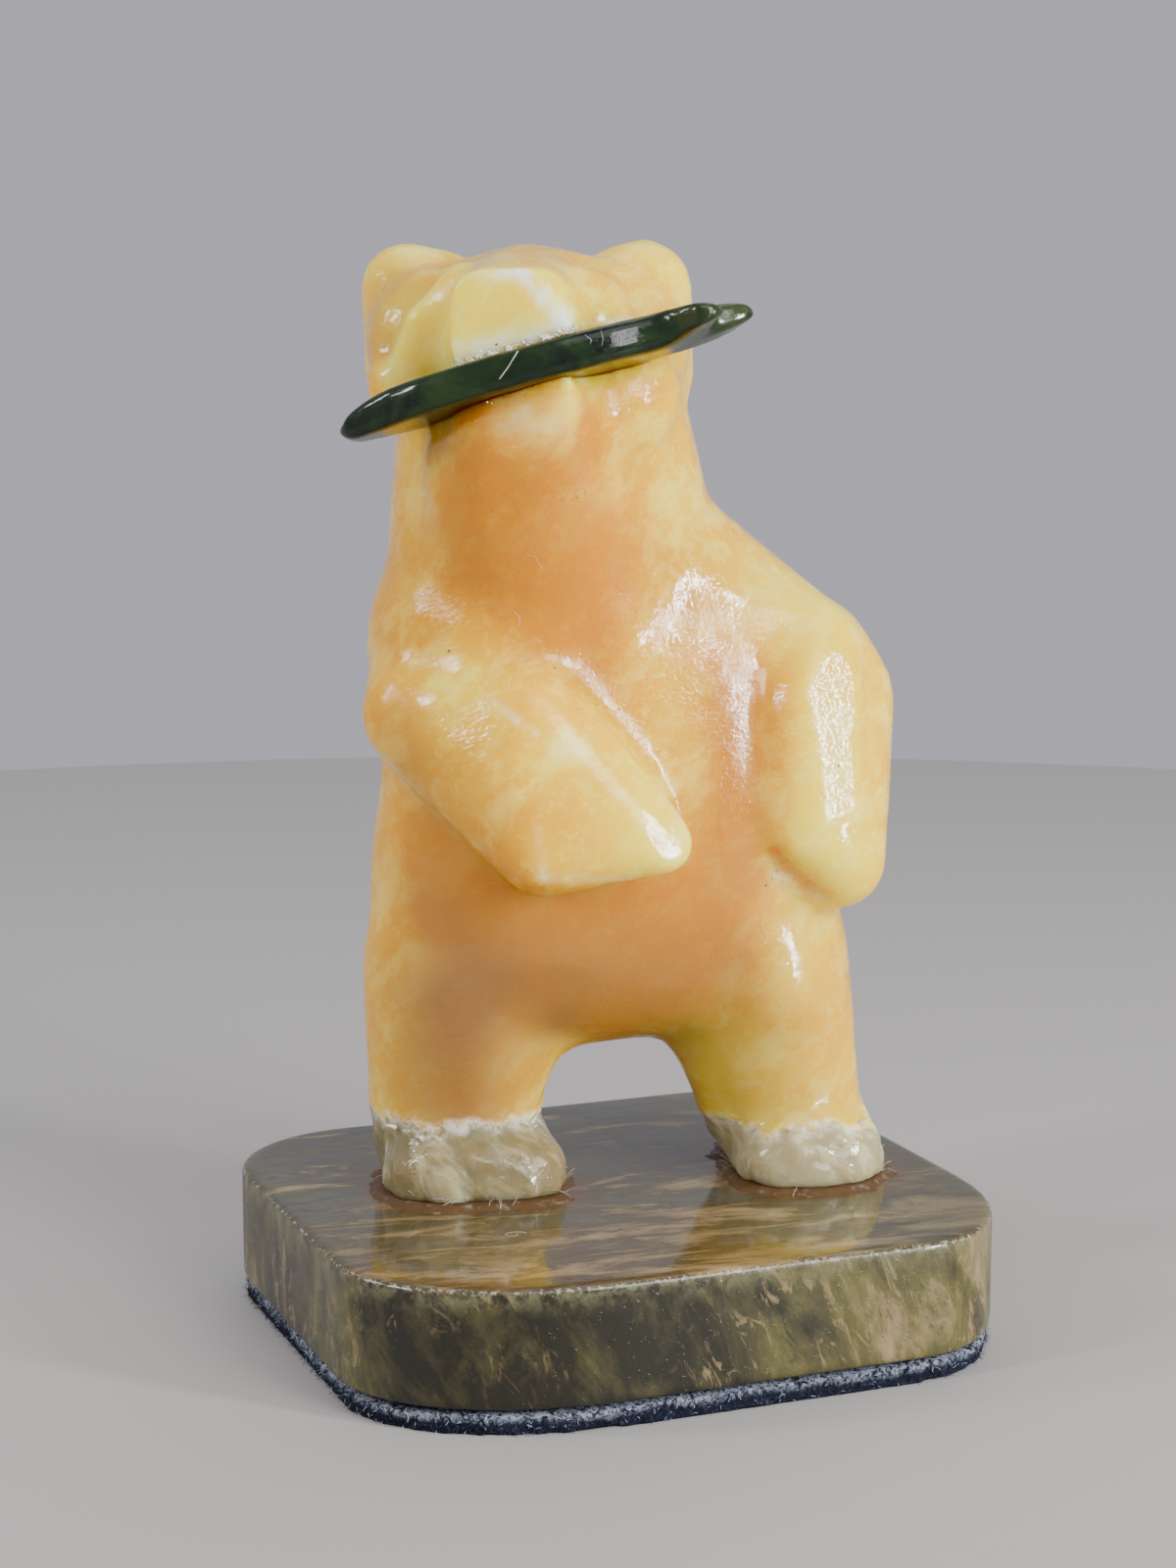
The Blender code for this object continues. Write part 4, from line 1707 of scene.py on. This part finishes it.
@dataclass
class MouthGlue:
    """The rough bead of dried glue between the fish and the snout."""

    bear: Bear
    upper_grains: int = 900
    lower_grains: int = 40
    smallest: float = 0.04 * MM
    largest: float = 0.11 * MM
    flattest: float = 0.5
    lean: Span = (0.1, 0.9)
    voxel: float = 0.05 * MM
    spread: float = 0.13 * MM
    touch: float = 0.55 * MM
    clear: float = 3.0 * MM
    lift: float = 0.02 * MM
    frontness: float = -0.15
    right_end: float = -6.6 * MM

    def build(self) -> bpy.types.Object:
        """Scatters grains along the joint and melts them together.

        Returns:
            The piece.
        """
        jade = self.bear.fish.tree
        points, normals = self.bear.carving.points, self.bear.carving.normals()
        upper = self.bear.fish.local(points)[:, 2] > 0
        joint = (self.bear.near_fish < self.touch) & (normals[:, 1] < self.frontness)
        for index in np.flatnonzero(joint):
            outward = Vector(normals[index])
            start = Vector(points[index]) + outward * self.lift
            joint[index] = jade.ray_cast(start, outward, self.clear)[3] is None
        above = np.flatnonzero(joint & upper & (points[:, 0] < self.right_end))
        below = np.flatnonzero(joint & ~upper)
        draw = random.Random(SEED)
        bm = bmesh.new()
        for places, count in ((above, self.upper_grains), (below, self.lower_grains)):
            for _ in range(count):
                stone = Vector(points[places[draw.randrange(len(places))]])
                jitter = Vector([draw.gauss(0.0, self.spread) for _ in range(3)])
                place = stone.lerp(jade.find_nearest(stone)[0], draw.uniform(*self.lean)) + jitter
                radius = self.smallest + (self.largest - self.smallest) * draw.random() ** 2
                flatness = Matrix.Diagonal((1.0, 1.0, draw.uniform(self.flattest, 1.0), 1.0))
                grain = Matrix.Translation(place) @ flatness
                bmesh.ops.create_icosphere(bm, subdivisions=1, radius=radius, matrix=grain)
        piece = make_piece("mouth_glue", skin(bm, self.voxel, 1), GlueCrust().build())
        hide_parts("bear")
        return piece


@dataclass
class FootGlue:
    """The skirt of old glue round each foot."""

    bear: Bear
    top: float
    left_middle: Span = (-10.5 * MM, -0.5 * MM)
    right_middle: Span = (11.0 * MM, -2.5 * MM)
    half_width: float = 9.5 * MM
    cells: int = 110
    thickness: float = 0.34 * MM
    reach: float = 0.50 * MM
    spread: Wave = Wave(2.4 * MM, 3, 10, 0.9)
    least_spread: float = 0.25
    lumps: Wave = Wave(0.9 * MM, 2, 11, 0.1)
    sunk: float = 0.035 * MM
    under: float = 0.25 * MM

    def build(self) -> list[bpy.types.Object]:
        """Lays both skirts.

        Returns:
            The pieces.
        """
        material = GlueStain().build()
        middles = {Side.LEFT: self.left_middle, Side.RIGHT: self.right_middle}
        return [self._skirt(side, middle, material) for side, middle in middles.items()]

    def _skirt(self, side: Side, middle: Span, material: bpy.types.Material) -> bpy.types.Object:
        """Lays one skirt.

        Args:
            side: which foot.
            middle: X and Y of the foot's middle.
            material: the glue.

        Returns:
            The piece.
        """
        bm = bmesh.new()
        place = Matrix.Translation((*middle, self.top))
        counts = {"x_segments": self.cells, "y_segments": self.cells}
        bmesh.ops.create_grid(bm, **counts, size=self.half_width, matrix=place)
        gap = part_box("bear")[0].z - self.top
        points = np.array([vert.co for vert in bm.verts])
        spread = np.maximum(1.0 + self.spread.on(points), self.least_spread) * self.reach
        lumps = 1.0 + self.lumps.on(points)
        away = np.array([self.bear.tree.find_nearest(vert.co)[3] for vert in bm.verts])
        heights = self.thickness * bell(np.maximum(away - gap, 0.0), spread) * lumps - self.sunk
        for vert, height in zip(bm.verts, heights):
            vert.co.z += height
        lower = bmesh.ops.extrude_face_region(bm, geom=bm.faces[:])["geom"]
        for vert in (item for item in lower if isinstance(item, bmesh.types.BMVert)):
            vert.co.z = self.top - self.under
        bmesh.ops.recalc_face_normals(bm, faces=bm.faces)
        piece = make_piece(f"foot_glue_{side.name.lower()}", baked(bm, "skirt"), material)
        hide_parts("plinth")
        return piece


@dataclass
class Lint:
    """Pale hairs and fluff that stick to the figurine."""

    bear: Bear
    top: float
    thread: float = 0.028 * MM
    hair: float = 0.011 * MM
    foot_hairs: int = 150
    hair_length: float = 1.6 * MM
    hair_bends: int = 5
    foot_height: float = 0.5 * MM
    uprightness: float = 0.6
    rise: Span = (-0.1, 0.5)
    bend: float = 0.5
    curl_place: Place = (-11.1, -9.3, 9.93)
    curl_size: float = 0.9 * MM
    curl_flatness: float = 0.6
    curl_degrees: int = 400
    curl_loss: Span = (9, 12)
    white: Colour = (0.72, 0.70, 0.64)
    grey: Colour = (0.5, 0.47, 0.4)
    threads: tuple[tuple[Place, ...], ...] = (
        ((-12.25, -10.30, 67.50), (-11.75, -10.55, 68.2), (-11.10, -10.65, 69.3)),
        ((-12.20, -10.33, 67.50), (-11.70, -10.58, 68.3), (-11.05, -10.68, 69.3)),
    )
    hairs: tuple[tuple[Place, ...], ...] = (
        (
            (-9.0, -6.65, 55.8), (-8.5, -6.85, 55.75), (-8.2, -6.75, 55.3),
            (-7.9, -6.65, 54.9), (-7.7, -6.7, 55.2),
        ),
        ((-9.4, -5.05, 52.0), (-9.0, -5.12, 51.6), (-8.9, -5.12, 51.1), (-9.1, -5.1, 50.8)),
        ((-5.9, -12.12, 70.6), (-5.75, -12.16, 70.1), (-5.85, -12.14, 69.6)),
        ((-5.3, -12.22, 70.3), (-5.1, -12.22, 69.9), (-5.3, -12.2, 69.5)),
        ((-4.7, -12.15, 70.5), (-4.5, -12.18, 70.1), (-4.55, -12.2, 69.7), (-4.3, -12.18, 69.4)),
        ((-6.9, -11.9, 70.3), (-6.5, -12.0, 70.0), (-6.6, -12.0, 69.7)),
    )

    def build(self) -> list[bpy.types.Object]:
        """Lays the hairs.

        Returns:
            The pieces.
        """
        draw = random.Random(SEED + 3)
        thick = [[Vector(point) * MM for point in path] for path in self.threads]
        paths = [[Vector(point) * MM for point in path] for path in self.hairs]
        paths.append(self._curl(Vector(self.curl_place) * MM))
        carving = self.bear.carving
        low = carving.points[:, 2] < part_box("bear")[0].z + self.foot_height
        low = np.flatnonzero(low & (np.abs(carving.normals()[:, 2]) < self.uprightness))
        for _ in range(self.foot_hairs):
            paths.append(self._hair(Vector(carving.points[low[draw.randrange(len(low))]]), draw))
        white = Fibre("lint", self.white, self.grey).build()
        pieces = [
            make_piece("lint_threads", fibre_mesh(thick, self.thread), white),
            make_piece("lint_hairs", fibre_mesh(paths, self.hair), white),
        ]
        for piece in pieces:
            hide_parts("bear")
        return pieces

    def _curl(self, place: Vector) -> list[Vector]:
        """One curled hair that lies flat.

        Args:
            place: its middle.

        Returns:
            Its points.
        """
        across, along = self.curl_loss
        path = []
        for turn in map(math.radians, range(0, self.curl_degrees, 20)):
            x = math.cos(turn) * self.curl_size * (1 - turn / across)
            y = math.sin(turn) * self.curl_size * self.curl_flatness * (1 - turn / along)
            path.append(place + Vector((x, y, 0)))
        return path

    def _hair(self, root: Vector, draw: random.Random) -> list[Vector]:
        """One short hair at the foot of a leg.

        Args:
            root: where it starts.
            draw: the random numbers.

        Returns:
            Its points.
        """
        heading = Vector([draw.uniform(-1, 1), draw.uniform(-1, 1), draw.uniform(*self.rise)])
        path = [root]
        for _ in range(self.hair_bends):
            heading = heading.normalized() + Vector([draw.uniform(-self.bend, self.bend) for _ in range(3)])
            stride = self.hair_length * draw.uniform(0.5, 1.0) / self.hair_bends
            point = path[-1] + heading.normalized() * stride
            point.z = max(point.z, self.top + self.hair)
            path.append(point)
        return path


@dataclass
class Splinters:
    """Small shards where the honey-coloured stone breaks off above the feet."""

    segments: int = 5
    sharpness: float = 0.2
    dust: Colour = (0.6, 0.5, 0.3)
    shards: tuple[tuple[float, ...], ...] = (
        (-6.0, 0.4, 14.9, 50, 20, 1.3, 0.22),
        (-6.2, 0.0, 14.5, 60, -40, 0.9, 0.20),
        (16.9, -6.6, 14.3, 70, 10, 1.0, 0.30),
        (-16.0, 2.4, 15.0, -70, 10, 0.8, 0.22),
    )

    def build(self) -> bpy.types.Object:
        """Sets the shards, each with its place, lean, turn, length and thickness.

        Returns:
            The piece.
        """
        bm = bmesh.new()
        for x, y, z, lean, turn, length, thickness in self.shards:
            tilt = Euler((0.0, math.radians(lean), math.radians(turn))).to_matrix().to_4x4()
            bmesh.ops.create_cone(
                bm,
                cap_ends=True,
                segments=self.segments,
                radius1=thickness * MM,
                radius2=thickness * MM * self.sharpness,
                depth=length * MM,
                matrix=Matrix.Translation(Vector((x, y, z)) * MM) @ tilt,
            )
        finish = GlueCrust(grit=self.dust).build()
        piece = make_piece("splinters", baked(bm, "splinters"), finish)
        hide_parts("bear")
        return piece


@dataclass
class Plinth:
    """The polished stone plinth."""

    bear: Bear
    voxel: float = 0.27 * MM
    softening: int = 5
    flat_within: float = 0.14 * MM
    flat_upright: float = 0.97
    rim_from: Span = (0.05, 0.45)
    rim_to: Span = (0.99, 0.80)
    rim_foot: float = 3 * MM
    rim_head: float = 2 * MM
    waves: Wave = Wave(6 * MM, 2, 5, 0.03 * MM)
    wavy: Span = (0.9, 0.3)
    chips: Wave = Wave(1.1 * MM, 3, 6)
    chip_levels: Span = (0.15, 0.75)
    chip_depth: float = 0.16 * MM
    nibbles: Wave = Wave(0.5 * MM, 2, 7)
    nibble_levels: Span = (0.1, 0.8)
    nibble_depth: float = 0.06 * MM
    stain_depth: float = 1 * MM
    stain_reach: float = 2.3 * MM
    stain_end: float = 6 * MM
    top: float = 0.0

    def build(self) -> bpy.types.Object:
        """Makes the plinth from its CAD node, with a chipped rim.

        Returns:
            The piece.
        """
        low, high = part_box("plinth")
        self.top = high.z
        carving = Carving(skin(merged_copy("plinth"), self.voxel, self.softening))
        upright = carving.normals()[:, 2]
        rim = step(np.abs(upright), *self.rim_from) * step(np.abs(upright), *self.rim_to)
        rim *= step(carving.points[:, 2], low.z + self.rim_foot, high.z - self.rim_head)
        waves = self.waves.on(carving.points) * step(np.abs(upright), *self.wavy)
        chips = step(self.chips.on(carving.points), *self.chip_levels) * self.chip_depth
        nibbles = step(self.nibbles.on(carving.points), *self.nibble_levels) * self.nibble_depth
        carving.raise_by(waves - rim * (chips + nibbles))
        height = carving.points[:, 2]
        height[(high.z - height < self.flat_within) & (upright > self.flat_upright)] = high.z
        height[height - low.z < self.flat_within] = low.z
        carving.attribute(Mask.RIM, carving.blur(rim, 1))
        upper = np.flatnonzero(height > high.z - self.stain_depth)
        feet = ways_to(self.bear.tree, carving.points, upper, self.stain_end)
        carving.attribute(Mask.STAIN, bell(feet, self.stain_reach))
        piece = make_piece("stone_plinth", carving.mesh, OliveStone(high.z).build())
        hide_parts("plinth")
        return piece


@dataclass
class FeltPad:
    """The felt pad under the plinth, with its fuzzy edge."""

    voxel: float = 0.40 * MM
    softening: int = 3
    edge: Span = (0.9, 0.4)
    fringe: float = 0.9
    waves: Wave = Wave(0.9 * MM, 3, 8, 0.12 * MM)
    tufts: int = 2200
    tuft_length: float = 0.6 * MM
    tuft_radius: float = 0.014 * MM
    tuft_bends: int = 4
    tuft_root: float = 0.06 * MM
    lean: float = 1.6
    rise: Span = (-0.7, 0.6)
    bend: float = 0.55
    shortest: float = 0.35
    pale_least: float = 0.04
    pale_more: float = 0.90
    pale: Fibre = Fibre("pale_lint", (0.55, 0.60, 0.70), (0.32, 0.40, 0.56), 0.8)
    navy: Fibre = Fibre("navy_lint", (0.015, 0.018, 0.034), (0.04, 0.05, 0.09), 0.9)

    def build(self) -> list[bpy.types.Object]:
        """Makes the pad from its CAD node, and the fuzz round it.

        Returns:
            The pad and the fuzz.
        """
        low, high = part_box("felt_pad")
        carving = Carving(skin(merged_copy("felt_pad"), self.voxel, self.softening))
        sideways = step(np.abs(carving.normals()[:, 2]), *self.edge)
        carving.raise_by(self.waves.on(carving.points) * sideways)
        carving.points[:, 2] = np.clip(carving.points[:, 2], low.z, high.z)
        pad = make_piece("felt_pad_cloth", carving.mesh, NavyFelt().build())
        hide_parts("felt_pad")

        edge = np.flatnonzero(sideways > self.fringe)
        normals = carving.normals()
        draw = random.Random(SEED)
        dark, light = [], []
        for _ in range(self.tufts):
            index = edge[draw.randrange(len(edge))]
            path = self._tuft(Vector(carving.points[index]), Vector(normals[index]), low.z, draw)
            (light if draw.random() < self._paleness(path[0].z, low.z, high.z) else dark).append(path)
        light_mesh, dark_mesh = (fibre_mesh(paths, self.tuft_radius) for paths in (light, dark))
        fuzz = [
            make_piece("felt_fuzz_pale", light_mesh, self.pale.build()),
            make_piece("felt_fuzz_navy", dark_mesh, self.navy.build()),
        ]
        for piece in fuzz:
            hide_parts("felt_pad")
        return [pad, *fuzz]

    def _paleness(self, height: float, low: float, high: float) -> float:
        """How likely a fibre is pale lint, which gathers at the upper edge of the felt."""
        return self.pale_least + self.pale_more * ((height - low) / (high - low)) ** 3

    def _tuft(self, root: Vector, out: Vector, floor: float, draw: random.Random) -> list[Vector]:
        """One short curly fibre that stands out of the felt's edge.

        Args:
            root: where it starts.
            out: the way out of the felt.
            floor: height that it stays above.
            draw: the random numbers.

        Returns:
            Its points.
        """
        along = Vector((0, 0, 1)).cross(out).normalized()
        heading = out + along * draw.uniform(-self.lean, self.lean) + Vector((0, 0, draw.uniform(*self.rise)))
        length = self.tuft_length * draw.uniform(self.shortest, 1.0)
        path = [root - out * self.tuft_root]
        for _ in range(self.tuft_bends):
            heading = heading.normalized() + Vector([draw.uniform(-self.bend, self.bend) for _ in range(3)])
            point = path[-1] + heading.normalized() * (length / self.tuft_bends)
            point.z = max(point.z, floor + self.tuft_radius)
            path.append(point)
        return path


@dataclass(frozen=True)
class Lamp:
    """A soft rectangular light that faces the figurine."""

    name: str
    azimuth: float
    elevation: float
    distance: float
    width: float
    height: float
    power: float
    colour: Colour = (1.0, 1.0, 1.0)

    def build(self, target: Vector) -> None:
        """Hangs the light.

        Args:
            target: the point that it faces.
        """
        data = bpy.data.lights.new(self.name, "AREA")
        data.shape = "RECTANGLE"
        data.size = self.width
        data.size_y = self.height
        data.energy = self.power
        data.color = self.colour
        light = bpy.data.objects.new(self.name, data)
        round_z, up = math.radians(self.azimuth), math.radians(self.elevation)
        away = Vector((math.sin(round_z) * math.cos(up), -math.cos(round_z) * math.cos(up), math.sin(up)))
        light.location = target + away * self.distance
        light.rotation_euler = (-away).to_track_quat("-Z", "Y").to_euler()
        bpy.context.scene.collection.objects.link(light)


@dataclass
class Studio:
    """A pale floor, soft lights and the camera."""

    target: Vector
    floor_radius: float = 0.285
    floor_colour: Colour = (0.37, 0.355, 0.34)
    floor_roughness: float = 0.65
    sky: Colour = (0.47, 0.465, 0.52)
    sky_strength: float = 1.0
    lens: float = 67.5
    sensor: float = 36.0
    eye: Place = (-0.0783, -0.1900, 0.0705)
    yaw: float = -21.9
    pitch: float = -8.74
    lamps: tuple[Lamp, ...] = (
        Lamp("window_right", 38, 11, 0.42, 0.042, 0.145, 2.3),
        Lamp("window_middle", 20, 27, 0.42, 0.12, 0.20, 1.0),
        Lamp("soft_front", 0, 50, 0.60, 0.35, 0.35, 0.9),
        Lamp("window_left", -80, 28, 0.42, 0.045, 0.13, 0.75),
        Lamp("window_far_left", -104, 27, 0.42, 0.040, 0.13, 0.50),
        Lamp("soft_top", 150, 65, 0.55, 0.35, 0.30, 0.6),
    )

    def build(self) -> None:
        """Sets up the floor, the lights and the camera."""
        self._lay_floor()
        for lamp in self.lamps:
            lamp.build(self.target)
        world = bpy.data.worlds.new("studio")
        world.use_nodes = True
        background = world.node_tree.nodes["Background"]
        background.inputs["Color"].default_value = (*self.sky, 1.0)
        background.inputs["Strength"].default_value = self.sky_strength
        bpy.context.scene.world = world
        self._set_camera()

    def _lay_floor(self) -> None:
        """Lays a plain round floor."""
        bm = bmesh.new()
        bmesh.ops.create_circle(bm, cap_ends=True, segments=64, radius=self.floor_radius)
        mesh = baked(bm, "floor")
        bench = Bench("floor_paint")
        bench.set(Base_Color=self.floor_colour, Roughness=self.floor_roughness)
        mesh.materials.append(bench.material)
        floor = bpy.data.objects.new("floor", mesh)
        bpy.context.scene.collection.objects.link(floor)

    def _set_camera(self) -> None:
        """Stands the camera where the photograph was taken from."""
        data = bpy.data.cameras.new("camera")
        data.lens = self.lens
        data.sensor_width = self.sensor
        data.clip_start = 0.01
        camera = bpy.data.objects.new("camera", data)
        yaw, pitch = math.radians(self.yaw), math.radians(self.pitch)
        look = Vector((-math.sin(yaw) * math.cos(pitch), math.cos(yaw) * math.cos(pitch), math.sin(pitch)))
        camera.location = self.eye
        camera.rotation_euler = look.to_track_quat("-Z", "Y").to_euler()
        bpy.context.scene.collection.objects.link(camera)
        bpy.context.scene.camera = camera


def main() -> None:
    """Builds the figurine from the mouth outwards, then the studio."""
    logging.basicConfig(level=logging.INFO, format="%(message)s")
    fish = Fish()
    fish.build()
    bear = Bear(fish)
    bear.build()
    plinth = Plinth(bear)
    plinth.build()
    FeltPad().build()
    MouthGlue(bear).build()
    FootGlue(bear, plinth.top).build()
    Lint(bear, plinth.top).build()
    Splinters().build()
    Studio(Vector((0.0, 0.0, 0.036))).build()


if __name__ == "__main__":
    main()
